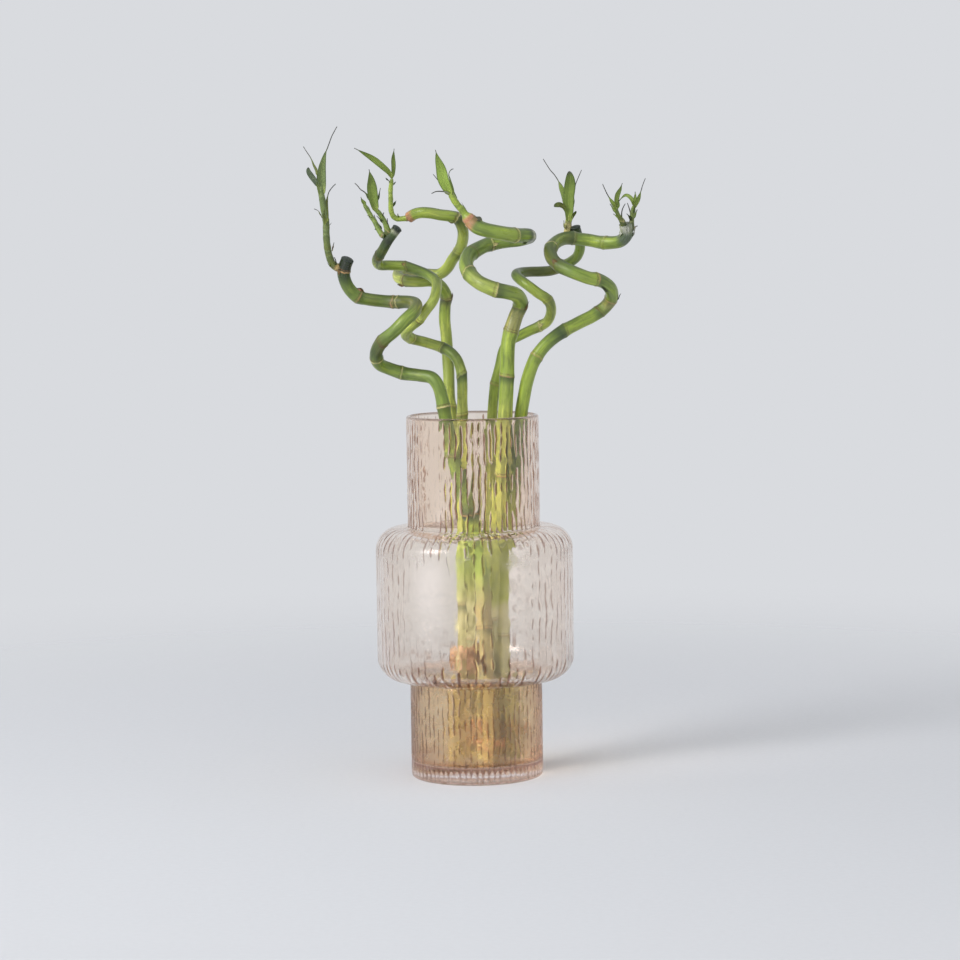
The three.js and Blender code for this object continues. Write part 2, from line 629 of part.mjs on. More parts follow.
// The low dome of wax that seals a cut end
function waxGeometry(radius) {
  const dome = [
    [0, 0],
    [radius, 0],
    [radius, WAX_HEIGHT * 0.4],
    [radius * 0.75, WAX_HEIGHT * 0.85],
    [0, WAX_HEIGHT],
  ];
  return turned(dome, 12);
}

function placed(name, geometry, color, roughness) {
  const mesh = new THREE.Mesh(geometry, new THREE.MeshStandardMaterial({ color, roughness, metalness: 0 }));
  mesh.name = name;
  return mesh;
}

const vaseAndWater = new THREE.Group();
vaseAndWater.add(placed("vase", vaseGeometry(), 0xe6cdbf, 0.1));
vaseAndWater.add(placed("water", waterGeometry(), 0xdfe6e2, 0.05));

const plant = new THREE.Group();
Object.entries(CANES).forEach(([name, cane], index) => {
  plant.add(placed(name, caneGeometry(cane, 7 * index), cane.color, 0.45));
  if (!cane.wax) return;
  const wax = placed(name.replace("cane", "wax"), waxGeometry(cane.tipRadius + 0.2), 0x2c3a2a, 0.6);
  const curve = curveThrough(cane.path);
  const end = curve.getTangentAt(1);
  wax.position.copy(curve.getPointAt(1)).addScaledVector(end, CLEARANCE);
  wax.quaternion.setFromUnitVectors(UP, end);
  plant.add(wax);
});
for (const [name, shoot] of Object.entries(SHOOTS)) {
  plant.add(placed(name, shootGeometry(shoot), 0x5b8c3a, 0.5));
}

const luckyBamboo = new THREE.Group();
luckyBamboo.add(vaseAndWater, plant);

export default luckyBamboo;
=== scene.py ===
# %% [markdown]
# # Lucky bamboo in a glass vase
# Six canes, trained into spirals as they grew, stand in water in a vase of pressed glass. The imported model
# gives every size and place. This script keeps them and makes the surfaces: ribbed glass, clear water,
# striped canes with their joint rings, and thin leaves.

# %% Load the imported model
import math

import bpy
import numpy as np
from mathutils import Matrix, Vector


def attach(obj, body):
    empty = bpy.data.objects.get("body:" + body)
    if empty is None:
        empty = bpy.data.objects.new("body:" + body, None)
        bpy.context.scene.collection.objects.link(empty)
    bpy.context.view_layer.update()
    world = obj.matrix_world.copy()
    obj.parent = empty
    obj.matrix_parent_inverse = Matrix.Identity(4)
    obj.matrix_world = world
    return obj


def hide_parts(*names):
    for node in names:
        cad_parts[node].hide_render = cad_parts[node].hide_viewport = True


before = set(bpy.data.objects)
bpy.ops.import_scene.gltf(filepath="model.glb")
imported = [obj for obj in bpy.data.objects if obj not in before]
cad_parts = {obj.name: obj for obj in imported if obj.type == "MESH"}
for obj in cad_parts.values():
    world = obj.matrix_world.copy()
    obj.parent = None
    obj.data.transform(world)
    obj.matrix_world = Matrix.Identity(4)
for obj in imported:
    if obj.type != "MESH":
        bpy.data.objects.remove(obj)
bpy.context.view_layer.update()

MM = 0.001

# %% Clear Blender's start-up objects
for leftover in ("Cube", "Light", "Camera"):
    if leftover in bpy.data.objects:
        bpy.data.objects.remove(bpy.data.objects[leftover])

# %% [markdown]
# ## Camera
# A product photograph is taken from far off with a long lens, so upright things stay upright. The camera
# stands 2.4 m in front of the vase, a little above it, and looks slightly down. It is also turned a touch
# about its own line of sight, because the vase leans by less than a degree in the picture.

# %% Put things in the scene
def place_object(name, data):
    """A new object, at the origin, that shows a mesh, a light or a camera."""
    thing = bpy.data.objects.new(name, data)
    bpy.context.collection.objects.link(thing)
    return thing


# %% Camera
PICTURE_SIDE = 960  # pixels
FOCAL_LENGTH = 3100  # in pixels of that picture
SENSOR = 36  # mm
CAMERA_PLACE = (5.2, -2380, 433.6)  # mm
CAMERA_PITCH = -4.9  # degrees below the horizon
CAMERA_ROLL = -0.83

camera_data = bpy.data.cameras.new("camera")
camera_data.sensor_width = SENSOR
camera_data.lens = SENSOR * FOCAL_LENGTH / PICTURE_SIDE
camera = place_object("camera", camera_data)
camera.location = Vector(CAMERA_PLACE) * MM
look = Matrix.Rotation(math.radians(90 + CAMERA_PITCH), 3, "X")
camera.rotation_euler = (look @ Matrix.Rotation(math.radians(CAMERA_ROLL), 3, "Z")).to_euler()
bpy.context.scene.camera = camera
print("lens", round(camera_data.lens, 2), "mm")

# %% [markdown]
# ## Helpers for node trees
# Geometry Nodes and materials are both graphs of nodes. They could be wired by hand in the editor. In a
# script, one function that adds a node and fills its sockets keeps each tree short enough to read.

# %% Nodes and arithmetic
def add_node(tree, kind, inputs=None, **settings):
    """Adds a node; inputs gives each socket, by name or index, a value or another node's output."""
    made = tree.nodes.new(kind)
    for name, value in settings.items():
        setattr(made, name, value)
    for key, value in (inputs or {}).items():
        if isinstance(value, bpy.types.NodeSocket):
            tree.links.new(value, made.inputs[key])
        else:
            made.inputs[key].default_value = value
    return made


def calc(tree, operation, *values):
    return add_node(tree, "ShaderNodeMath", dict(enumerate(values)), operation=operation).outputs[0]


def times(tree, first, *others):
    """The product of two or more values."""
    product = first
    for value in others:
        product = calc(tree, "MULTIPLY", product, value)
    return product


def hump(tree, value):
    """1 where the value is 0, falling off like a bell on both sides."""
    return calc(tree, "EXPONENT", times(tree, value, value, -1.0))


def vector_calc(tree, operation, *values):
    made = add_node(tree, "ShaderNodeVectorMath", dict(enumerate(values)), operation=operation)
    return made.outputs["Value" if operation in ("DOT_PRODUCT", "LENGTH") else "Vector"]


def scaled(tree, vector, factor):
    sockets = {"Vector": vector, "Scale": factor}
    return add_node(tree, "ShaderNodeVectorMath", sockets, operation="SCALE").outputs[0]


def split_xyz(tree, vector):
    """The sockets X, Y and Z of a vector."""
    return add_node(tree, "ShaderNodeSeparateXYZ", {0: vector}).outputs


def join_xyz(tree, **parts):
    return add_node(tree, "ShaderNodeCombineXYZ", parts).outputs[0]


def ramp(tree, value, low, high, at_low, at_high):
    """Maps low to high onto at_low to at_high, smoothly and with no overshoot."""
    sockets = {"Value": value, "From Min": low, "From Max": high, "To Min": at_low, "To Max": at_high}
    return add_node(tree, "ShaderNodeMapRange", sockets, interpolation_type="SMOOTHSTEP").outputs["Result"]


# %% Geometry trees and the pieces they grow
def geometry_tree(name, sizes):
    """A new tree with named inputs; returns the tree and its input sockets."""
    tree = bpy.data.node_groups.new(name, "GeometryNodeTree")
    tree.interface.new_socket("Geometry", in_out="INPUT", socket_type="NodeSocketGeometry")
    tree.interface.new_socket("Geometry", in_out="OUTPUT", socket_type="NodeSocketGeometry")
    for label, value in sizes.items():
        kind = "NodeSocketInt" if isinstance(value, int) else "NodeSocketFloat"
        tree.interface.new_socket(label, in_out="INPUT", socket_type=kind).default_value = value
    tree.interface.new_socket("Finish", in_out="INPUT", socket_type="NodeSocketMaterial")
    return tree, tree.nodes.new("NodeGroupInput").outputs


def close_tree(tree, geometry, finish):
    """Ends a tree in smooth shading, real geometry and its material."""
    smooth = add_node(tree, "GeometryNodeSetShadeSmooth", {"Geometry": geometry})
    real = add_node(tree, "GeometryNodeRealizeInstances", {"Geometry": smooth.outputs[0]})
    dressed = add_node(tree, "GeometryNodeSetMaterial", {"Geometry": real.outputs[0], "Material": finish})
    add_node(tree, "NodeGroupOutput", {0: dressed.outputs[0]})
    print("tree", tree.name, len(tree.nodes), "nodes")


def named(tree, name, data_type="FLOAT"):
    """Reads an attribute of the geometry."""
    found = add_node(tree, "GeometryNodeInputNamedAttribute", {"Name": name}, data_type=data_type)
    return found.outputs["Attribute"]


def keep(tree, geometry, name, value, data_type="FLOAT"):
    """Stores a value on every point under a name that the material can read."""
    sockets = {"Geometry": geometry, "Name": name, "Value": value}
    stored = add_node(tree, "GeometryNodeStoreNamedAttribute", sockets, data_type=data_type, domain="POINT")
    return stored.outputs["Geometry"]


def grow(name, start, tree, sizes):
    """Runs a tree on a starting mesh and keeps the result as a plain mesh."""
    piece = place_object(name, start)
    modifier = piece.modifiers.new("grow", "NODES")
    modifier.node_group = tree
    sockets = {item.name: item.identifier for item in tree.interface.items_tree if item.in_out == "INPUT"}
    for label, value in sizes.items():
        modifier[sockets[label]] = value
    evaluated = piece.evaluated_get(bpy.context.evaluated_depsgraph_get())
    grown = bpy.data.meshes.new_from_object(evaluated)
    grown.name = name
    piece.modifiers.clear()
    piece.data = grown
    print(name, len(grown.vertices), "vertices")
    return piece


# %% Attributes on a starting mesh
ATTRIBUTE_FIELDS = {"FLOAT": "value", "FLOAT_VECTOR": "vector", "FLOAT_COLOR": "color"}


def set_attribute(mesh, name, data_type, values):
    attribute = mesh.attributes.new(name, data_type, "POINT")
    attribute.data.foreach_set(ATTRIBUTE_FIELDS[data_type], np.asarray(values, dtype=np.float32).ravel())


def settle(piece, slot, *nodes):
    """The piece rides on the part's one body and stands for these solids; slot is not used."""
    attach(piece, "root")
    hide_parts(*nodes)


# %% [markdown]
# ## Colours
# Colours are easiest to pick as they look on a screen, but a renderer adds up light, so each one is turned
# into linear light first. Noise mixed into every colour keeps a surface from looking like plastic.

# %% Colour helpers
def linear(red, green, blue):
    """The linear colour, with alpha, of a screen colour with 0 to 255 in each channel."""
    shares = [value / 255 for value in (red, green, blue)]
    return (*[s / 12.92 if s <= 0.04045 else ((s + 0.055) / 1.055) ** 2.4 for s in shares], 1.0)


def new_finish(name):
    """A material with an empty tree but for its output."""
    material = bpy.data.materials.new(name)
    material.use_nodes = True
    material.node_tree.nodes.clear()
    output = material.node_tree.nodes.new("ShaderNodeOutputMaterial")
    print("finish", name)
    return material, material.node_tree, output


def finish_with(tree, output, sockets):
    """Ends a material in one Principled shader with these sockets."""
    surface = add_node(tree, "ShaderNodeBsdfPrincipled", sockets)
    tree.links.new(surface.outputs[0], output.inputs["Surface"])


def mix_colour(tree, share, under, over, blend_type="MIX"):
    sockets = {0: share, 6: under, 7: over}
    return add_node(tree, "ShaderNodeMix", sockets, data_type="RGBA", blend_type=blend_type).outputs[2]


def noise(tree, place, scale, detail=3.0, roughness=0.55):
    sockets = {"Vector": place, "Scale": scale, "Detail": detail, "Roughness": roughness}
    return add_node(tree, "ShaderNodeTexNoise", sockets).outputs["Fac"]


def attribute(tree, name, output="Fac"):
    return add_node(tree, "ShaderNodeAttribute", attribute_name=name).outputs[output]


def object_place(tree):
    """Each point's place on the object, in metres."""
    return add_node(tree, "ShaderNodeTexCoord").outputs["Object"]


def relief(tree, height, strength, distance):
    """Small bumps: the bent normal of a surface with this height pattern."""
    sockets = {"Height": height, "Strength": strength, "Distance": distance}
    return add_node(tree, "ShaderNodeBump", sockets).outputs[0]


# %% [markdown]
# ## Light and floor
# The picture is a studio shot on a pale seamless sheet. A big soft box to the left of the camera throws the
# faint shadow to the right. It stands there twice: one copy lights the matt surfaces and the other only
# gleams on shiny ones, so each can be set by itself. A low box that only gleams too lays the long pale
# streak on the belly. Every box is dimmer towards its edges, so no gleam has a hard rim.
# The room beyond is even and white, but matt skin gets more of it from the front than from behind, so round
# stems get darker towards their edges.
# The sheet could be a long curved surface, but then the camera could not go behind the vase. Here the floor
# is a disc that fades out, from a quarter of a metre outwards, into a background of the same brightness.

# %% Background
BACKGROUND = linear(217, 219, 223)
FRONT_SHARE = 1.0  # how much of the backdrop's brightness reaches matt surfaces, from the front
REAR_SHARE = 0.36

world = bpy.data.worlds.new("studio")
world.use_nodes = True
studio = world.node_tree
backdrop = studio.nodes["Background"]
backdrop.inputs["Color"].default_value = BACKGROUND
towards = split_xyz(studio, add_node(studio, "ShaderNodeTexCoord").outputs["Generated"])["Y"]
matt = ramp(studio, towards, -1.0, 1.0, FRONT_SHARE, REAR_SHARE)
rays = studio.nodes.new("ShaderNodeLightPath").outputs
seen = calc(studio, "MAXIMUM", rays["Is Camera Ray"], rays["Is Glossy Ray"])
seen = calc(studio, "MAXIMUM", seen, rays["Is Transmission Ray"])
missing = calc(studio, "SUBTRACT", 1.0, matt)
dimmed = calc(studio, "MULTIPLY_ADD", missing, calc(studio, "SUBTRACT", seen, 1.0), 1.0)
studio.links.new(dimmed, backdrop.inputs["Strength"])
bpy.context.scene.world = world
bpy.context.scene.view_settings.view_transform = "Standard"
print("backdrop", [round(channel, 3) for channel in BACKGROUND])

# %% Soft boxes
AIM = Vector((0, 0, 0.25))  # the middle of the vase


def soft_box(name, place, width, height, power, colour=(1.0, 0.99, 1.0)):
    """An area light that faces the middle of the vase and is dimmer towards its edges, as cloth is."""
    light = bpy.data.lights.new(name, "AREA")
    light.use_nodes = True
    tree = light.node_tree
    spot = split_xyz(tree, tree.nodes.new("ShaderNodeNewGeometry").outputs["Parametric"])
    glow = 1.0
    for axis in ("X", "Y"):
        from_middle = calc(tree, "ABSOLUTE", calc(tree, "SUBTRACT", spot[axis], 0.5))
        from_edge = calc(tree, "SUBTRACT", 0.5, from_middle)
        glow = times(tree, glow, ramp(tree, from_edge, 0.0, 0.45, 0.0, 1.0))
    tree.links.new(glow, tree.nodes["Emission"].inputs["Strength"])
    light.shape = "RECTANGLE"
    light.size = width
    light.size_y = height
    light.energy = power
    light.color = colour
    lamp = place_object(name, light)
    lamp.location = place
    lamp.rotation_euler = (AIM - Vector(place)).to_track_quat("-Z", "Y").to_euler()
    return lamp


HIGH_LEFT = (-2.85, -2.35, 2.23)  # metres
LOW_LEFT = (-0.54, -0.42, 0.1)
soft_box("key_soft_box", HIGH_LEFT, width=2.6, height=2.6, power=400).visible_glossy = False
for gleam in (
    soft_box("high_gleam_box", HIGH_LEFT, width=2.2, height=2.2, power=230),
    soft_box("low_gleam_box", LOW_LEFT, width=0.7, height=0.19, power=0.7, colour=(0.97, 0.93, 1.0)),
):
    gleam.visible_camera = False
    gleam.visible_diffuse = False
print(len(bpy.data.lights), "soft boxes")

# %% Floor
FLOOR_RADIUS = 1.8
FLOOR_SIDES = 96
FADE_START = 0.25  # distance from the vase, in metres
FADE_END = 1.25


def floor_mesh():
    mesh = bpy.data.meshes.new("floor")
    turns = [2 * math.pi * side / FLOOR_SIDES for side in range(FLOOR_SIDES)]
    rim = [(FLOOR_RADIUS * math.cos(turn), FLOOR_RADIUS * math.sin(turn), 0) for turn in turns]
    mesh.from_pydata(rim, [], [range(FLOOR_SIDES)])
    return mesh


def floor_finish():
    material, tree, output = new_finish("pale_sheet")
    place = object_place(tree)
    grain = noise(tree, place, 220.0)
    colour = mix_colour(tree, grain, linear(230, 232, 235), linear(236, 238, 241))
    sockets = {"Base Color": colour, "Roughness": 0.6, "Specular IOR Level": 0.0}
    sheet = add_node(tree, "ShaderNodeBsdfPrincipled", sockets)
    clear = tree.nodes.new("ShaderNodeBsdfTransparent")
    fade = ramp(tree, vector_calc(tree, "LENGTH", place), FADE_START, FADE_END, 0.0, 1.0)
    blend = add_node(tree, "ShaderNodeMixShader", {0: fade, 1: sheet.outputs[0], 2: clear.outputs[0]})
    tree.links.new(blend.outputs[0], output.inputs["Surface"])
    return material


floor = place_object("floor", floor_mesh())
floor.data.materials.append(floor_finish())
print("floor", 2 * FLOOR_RADIUS, "m wide")

# %% [markdown]
# ## The vase
# The real vase is pressed glass: a foot, a wide belly and a neck, with fine upright ribs. Between two ribs
# runs a shallow groove. The grooves waver and break off, because the hot glass moved in the mould. A turned
# outline gives the main shape. The grooves could be painted as bump, but bump does not bend the light
# through thick glass. So every groove is a column of points, and a Geometry Nodes tree presses it in by a
# formula and sways it. It also keeps how deep each place is, for the finish. At the sides of the real vase
# a few patches are almost smooth, so the press is weaker there.

# %% Sizes of the vase, in millimetres
VASE_HEIGHT = 280
FOOT_RADIUS = 51
FOOT_TOP = 76
BELLY_RADIUS = 76
BELLY_TOP = 194
NECK_RADIUS = 51
LOW_CORNER = 18  # radii of the belly's rounded edges
HIGH_CORNER = 17
LOW_CENTRE = BELLY_RADIUS - LOW_CORNER
HIGH_CENTRE = BELLY_RADIUS - HIGH_CORNER
WALL = 4.5  # in the foot and the belly
NECK_WALL = 3.5
FLOOR_TOP = 13
EDGE = 3  # radius of the small inner and outer corners
CREASE = 1  # radius where the foot and the neck meet the belly
PUNT = 0.8  # how far the underside is hollowed, so that the vase stands on a ring
RIB_COUNT = 72
# The columns of points in each rib, as shares of its width. The groove is at 0.
RIB_COLUMNS = (0, 0.06, 0.14, 0.32, 0.5, 0.68, 0.86, 0.94)
ROW = 2.9  # height between two rows of points on the outside
INSIDE_ROW = 15  # and on the smooth inside


# %% Turned outlines
def arc(centre_r, centre_z, radius, start, stop, steps):
    """Points of an arc, from one angle to another in degrees."""
    angles = np.radians(np.linspace(start, stop, steps + 1))
    return [(centre_r + radius * math.cos(a), centre_z + radius * math.sin(a)) for a in angles]


def upright(radius, start, stop, row):
    """Points between two heights of a straight wall, without its ends."""
    steps = max(2, round(abs(stop - start) / row))
    return [(radius, z) for z in np.linspace(start, stop, steps + 1)[1:-1]]


def even_angles(count):
    return np.linspace(0, 2 * math.pi, count, endpoint=False)


def turned(name, outline, angles):
    """A closed mesh turned about Z, at these angles, from an outline that starts and ends on the axis."""
    rings = outline[1:-1]
    sides = len(angles)
    points = [(0, 0, outline[0][1] * MM)]
    for radius, z in rings:
        points.extend((radius * MM * math.cos(a), radius * MM * math.sin(a), z * MM) for a in angles)
    points.append((0, 0, outline[-1][1] * MM))
    faces = []
    last = len(points) - 1
    for side in range(sides):
        beside = (side + 1) % sides
        faces.append((0, 1 + beside, 1 + side))
        top = 1 + (len(rings) - 1) * sides
        faces.append((last, top + side, top + beside))
        for ring in range(len(rings) - 1):
            here = 1 + ring * sides
            faces.append((here + side, here + beside, here + sides + beside, here + sides + side))
    mesh = bpy.data.meshes.new(name)
    mesh.from_pydata(points, [], faces)
    return mesh


def outside_outline():
    lip = NECK_WALL / 2
    return [
        (0, PUNT),
        (FOOT_RADIUS - EDGE - 4, PUNT),
        (FOOT_RADIUS - EDGE - 2, 0),
        *arc(FOOT_RADIUS - EDGE, EDGE, EDGE, -90, 0, 6),
        *upright(FOOT_RADIUS, EDGE, FOOT_TOP - CREASE, ROW),
        (FOOT_RADIUS, FOOT_TOP - CREASE),
        (FOOT_RADIUS + 0.5, FOOT_TOP - CREASE / 3),
        (FOOT_RADIUS + 2.5, FOOT_TOP),
        *arc(LOW_CENTRE, FOOT_TOP + LOW_CORNER, LOW_CORNER, -90, 0, 12),
        *upright(BELLY_RADIUS, FOOT_TOP + LOW_CORNER, BELLY_TOP - HIGH_CORNER, ROW),
        *arc(HIGH_CENTRE, BELLY_TOP - HIGH_CORNER, HIGH_CORNER, 0, 90, 12),
        (NECK_RADIUS + 2.5, BELLY_TOP),
        (NECK_RADIUS + 0.5, BELLY_TOP + CREASE / 3),
        (NECK_RADIUS, BELLY_TOP + CREASE),
        *upright(NECK_RADIUS, BELLY_TOP + CREASE, VASE_HEIGHT - lip, ROW),
        *arc(NECK_RADIUS - lip, VASE_HEIGHT - lip, lip, 0, 180, 8),
    ]


def inside_outline():
    foot_inside = FOOT_RADIUS - WALL
    neck_inside = NECK_RADIUS - NECK_WALL
    belly_inside = BELLY_RADIUS - WALL
    return [
        *upright(neck_inside, VASE_HEIGHT - NECK_WALL / 2, BELLY_TOP - WALL + EDGE, INSIDE_ROW),
        *arc(neck_inside + EDGE, BELLY_TOP - WALL + EDGE, EDGE, 180, 270, 4),
        *arc(HIGH_CENTRE, BELLY_TOP - HIGH_CORNER, HIGH_CORNER - WALL, 90, 0, 6),
        *upright(belly_inside, BELLY_TOP - HIGH_CORNER, FOOT_TOP + LOW_CORNER, INSIDE_ROW),
        *arc(LOW_CENTRE, FOOT_TOP + LOW_CORNER, LOW_CORNER - WALL, 0, -90, 6),
        *arc(foot_inside + EDGE, FOOT_TOP + WALL - EDGE, EDGE, 90, 180, 4),
        *upright(foot_inside, FOOT_TOP + WALL - EDGE, FLOOR_TOP + EDGE, INSIDE_ROW),
        *arc(foot_inside - EDGE, FLOOR_TOP + EDGE, EDGE, 0, -90, 4),
        (0, FLOOR_TOP),
    ]


# %% Where the ribs are pressed
# The calm patches, where the mould left the wall smoother: the angle and the height of the middle, and half
# the width and the height.
CALM_PATCHES = (
    (-115, 138, 22, 44), (115, 138, 22, 44), (-68, 150, 14, 40), (-129, 238, 13, 44), (129, 238, 13, 44),
)


def rib_share(radius, z):
    """How strongly a rib is pressed: most at the base, less on the flat shoulder, not at all at the lip."""
    from_edge = min(z - 1.5, VASE_HEIGHT - 2.5 - z)
    strength = 1.1
    if BELLY_TOP - 3 < z < BELLY_TOP + 2 and radius > NECK_RADIUS + 1:
        strength = 0.6
    elif z < FLOOR_TOP + 1:
        strength = 2.0
    elif z < FOOT_TOP:
        strength = 0.95
    elif FOOT_TOP < z < FOOT_TOP + LOW_CORNER:
        strength = 1.15
    elif FOOT_TOP + LOW_CORNER <= z < BELLY_TOP - HIGH_CORNER:
        strength = 0.7
    return strength * min(1.0, max(0.0, from_edge / 3))


def calm(angle, z):
    """0 in the middle of a calm patch and 1 outside them all."""
    share = 1.0
    for middle, height, half_angle, half_height in CALM_PATCHES:
        off = math.degrees(math.remainder(angle - math.radians(middle), 2 * math.pi)) / half_angle
        share *= 1 - 0.85 * math.exp(-(off ** 4) - ((z - height) / half_height) ** 4)
    return share


outside = outside_outline()
inside = inside_outline()
phases = np.tile(RIB_COLUMNS, RIB_COUNT)
columns = (np.repeat(np.arange(RIB_COUNT), len(RIB_COLUMNS)) + phases) * 2 * math.pi / RIB_COUNT
vase_start = turned("vase", outside + inside, columns)
press = [rib_share(r, z) * calm(angle, z) for r, z in outside[1:] for angle in columns]
press += [0.0] * (len(vase_start.vertices) - 1 - len(press))
set_attribute(vase_start, "press", "FLOAT", [0.0, *press])
to_groove = np.minimum(phases, 1 - phases)
set_attribute(vase_start, "to_groove", "FLOAT", [0.5, *np.tile(to_groove, len(outside + inside) - 2), 0.5])
print("vase", 2 * len(vase_start.polygons), "triangles")


# %% Geometry tree that presses the ribs
def rib_tree():
    sizes = {
        "Rib Count": RIB_COUNT, "Groove Depth": 0.28 * MM, "Groove Width": 0.125, "Bulge": 0.022 * MM,
        "Sway": 0.9, "Sway Length": 0.017, "Break Length": 0.009, "Seed": 3.0,
    }
    tree, given = geometry_tree("press_ribs", sizes)
    place = tree.nodes.new("GeometryNodeInputPosition").outputs[0]
    split = split_xyz(tree, place)
    angle = calc(tree, "ARCTAN2", split["Y"], split["X"])

    def wander(reach, length, detail):
        """Noise that changes round the vase, as fast as reach says, and along its height."""
        spot = join_xyz(
            tree,
            X=times(tree, calc(tree, "COSINE", angle), reach),
            Y=times(tree, calc(tree, "SINE", angle), reach),
            Z=calc(tree, "DIVIDE", split["Z"], length),
        )
        return noise(tree, vector_calc(tree, "ADD", spot, given["Seed"]), 1.0, detail)

    waver = calc(tree, "SUBTRACT", wander(3.0, given["Sway Length"], 2.0), 0.5)
    rib_angle = calc(tree, "DIVIDE", 2 * math.pi, given["Rib Count"])
    turn = times(tree, waver, given["Sway"], rib_angle)
    off = calc(tree, "DIVIDE", named(tree, "to_groove"), given["Groove Width"])
    broken = ramp(tree, wander(22.0, given["Break Length"], 1.5), 0.41, 0.63, 0.0, 2.1)
    groove = times(tree, hump(tree, off), broken, named(tree, "press"))
    round_off = calc(tree, "COSINE", times(tree, named(tree, "to_groove"), 2 * math.pi))
    bulge = times(tree, round_off, given["Bulge"], named(tree, "press"))
    depth = calc(tree, "MULTIPLY_ADD", groove, given["Groove Depth"], bulge)
    normal = tree.nodes.new("GeometryNodeInputNormal").outputs[0]
    pressed = vector_calc(tree, "ADD", place, scaled(tree, normal, times(tree, depth, -1.0)))
    sockets = {"Vector": pressed, "Angle": turn}
    swayed = add_node(tree, "ShaderNodeVectorRotate", sockets, rotation_type="Z_AXIS")
    body = keep(tree, given["Geometry"], "groove", groove)
    moved = add_node(tree, "GeometryNodeSetPosition", {"Geometry": body, "Position": swayed.outputs[0]})
    close_tree(tree, moved.outputs[0], given["Finish"])
    return tree


# %% [markdown]
# ## Glass and water finishes
# Glass is a Principled shader with full transmission. The vase is dyed: the foot is amber, the belly almost
# clear and the neck peach. A tint in the volume would need one mesh for each zone. So the tint sits on the
# surface, by height, and the volume only adds a trace that makes thick edges darker. Dark lines are painted
# into the tint as painted shade, standing in for the dark strokes that bent light draws in ribbed glass: in
# the grooves, in the crease and on the sill below the belly, in a row of teeth round the base, and where a
# wall is seen along its thickness, which Layer Weight finds.
# Light that is caught in thick glass would end as black once the renderer stops following it, so it is let
# out after three inner reflections. Shadows through glass would be black without slow caustics, so shadow
# rays see a clear surface instead. The skin has a faint ripple from the mould.

# %% Clear finishes
INNER_REFLECTIONS = 3  # the number after which trapped light is let out
TOOTH_TIP = 7.2  # height of the teeth's tips, which lie in the grooves, in mm
TOOTH_RISE = 9.0  # twice the height that their edge gains from a groove to the middle of a rib


def height_colour(tree, stops):
    """A colour that changes with the height on the object, given in millimetres."""
    place = object_place(tree)
    height = split_xyz(tree, place)["Z"]
    share = calc(tree, "DIVIDE", height, VASE_HEIGHT * MM)
    ladder = add_node(tree, "ShaderNodeValToRGB", {"Fac": share})
    elements = ladder.color_ramp.elements
    for number, (level, colour) in enumerate(stops):
        step = elements[number] if number < 2 else elements.new(1.0)
        step.position = level / VASE_HEIGHT
        step.color = (*colour, 1.0)
    return ladder.outputs["Color"]


def crease_shade_line(tree, height, reach):
    """1 on the sharp inner corner where the foot meets the belly, 0 elsewhere; painted shade darkens the
    crease there.
    """
    off = calc(tree, "ABSOLUTE", calc(tree, "SUBTRACT", height, FOOT_TOP * MM))
    near = calc(tree, "LESS_THAN", reach, (FOOT_RADIUS + 2.2) * MM)
    near = times(tree, near, calc(tree, "GREATER_THAN", reach, (FOOT_RADIUS - 1) * MM))
    return times(tree, ramp(tree, off, 0.9 * MM, 2.3 * MM, 1.0, 0.0), near)


def sill_shade_line(tree, height, reach):
    """Strongest on the underside of the belly, where it turns in to meet the foot; painted shade on the
    sill.
    """
    low = ramp(tree, height, (FOOT_TOP + 0.8) * MM, (FOOT_TOP + 2.6) * MM, 0.7, 0.0)
    under = calc(tree, "GREATER_THAN", height, (FOOT_TOP - 0.5) * MM)
    around = ramp(tree, reach, (FOOT_RADIUS + 8) * MM, (FOOT_RADIUS + 11) * MM, 1.0, 0.0)
    return times(tree, low, under, around, calc(tree, "GREATER_THAN", reach, (FOOT_RADIUS + 4) * MM))


def tooth_shade_line(tree, height, reach):
    """A dark band of painted shade just below the vase's floor, whose lower edge runs down into every groove
    like teeth.
    """
    edge = calc(tree, "MULTIPLY_ADD", attribute(tree, "to_groove"), TOOTH_RISE * MM, TOOTH_TIP * MM)
    band = ramp(tree, calc(tree, "SUBTRACT", height, edge), 0.0, 0.8 * MM, 0.0, 0.95)
    upper = ramp(tree, height, 12.6 * MM, 14.2 * MM, 1.0, 0.0)
    return times(tree, band, upper, calc(tree, "GREATER_THAN", reach, (FOOT_RADIUS - 2) * MM))


def edge_shade(tree):
    """How much painted shade darkens the tint where an upright wall is seen along its thickness."""
    facing = add_node(tree, "ShaderNodeLayerWeight", {"Blend": 0.5}).outputs["Facing"]
    normal = tree.nodes.new("ShaderNodeNewGeometry").outputs["Normal"]
    tilt = calc(tree, "ABSOLUTE", split_xyz(tree, normal)["Z"])
    edge = times(tree, ramp(tree, facing, 0.35, 0.8, 0.0, 1.0), ramp(tree, tilt, 0.2, 0.6, 1.0, 0.0))
    return times(tree, edge, height_colour(tree, EDGE_SHADE_LEVELS))


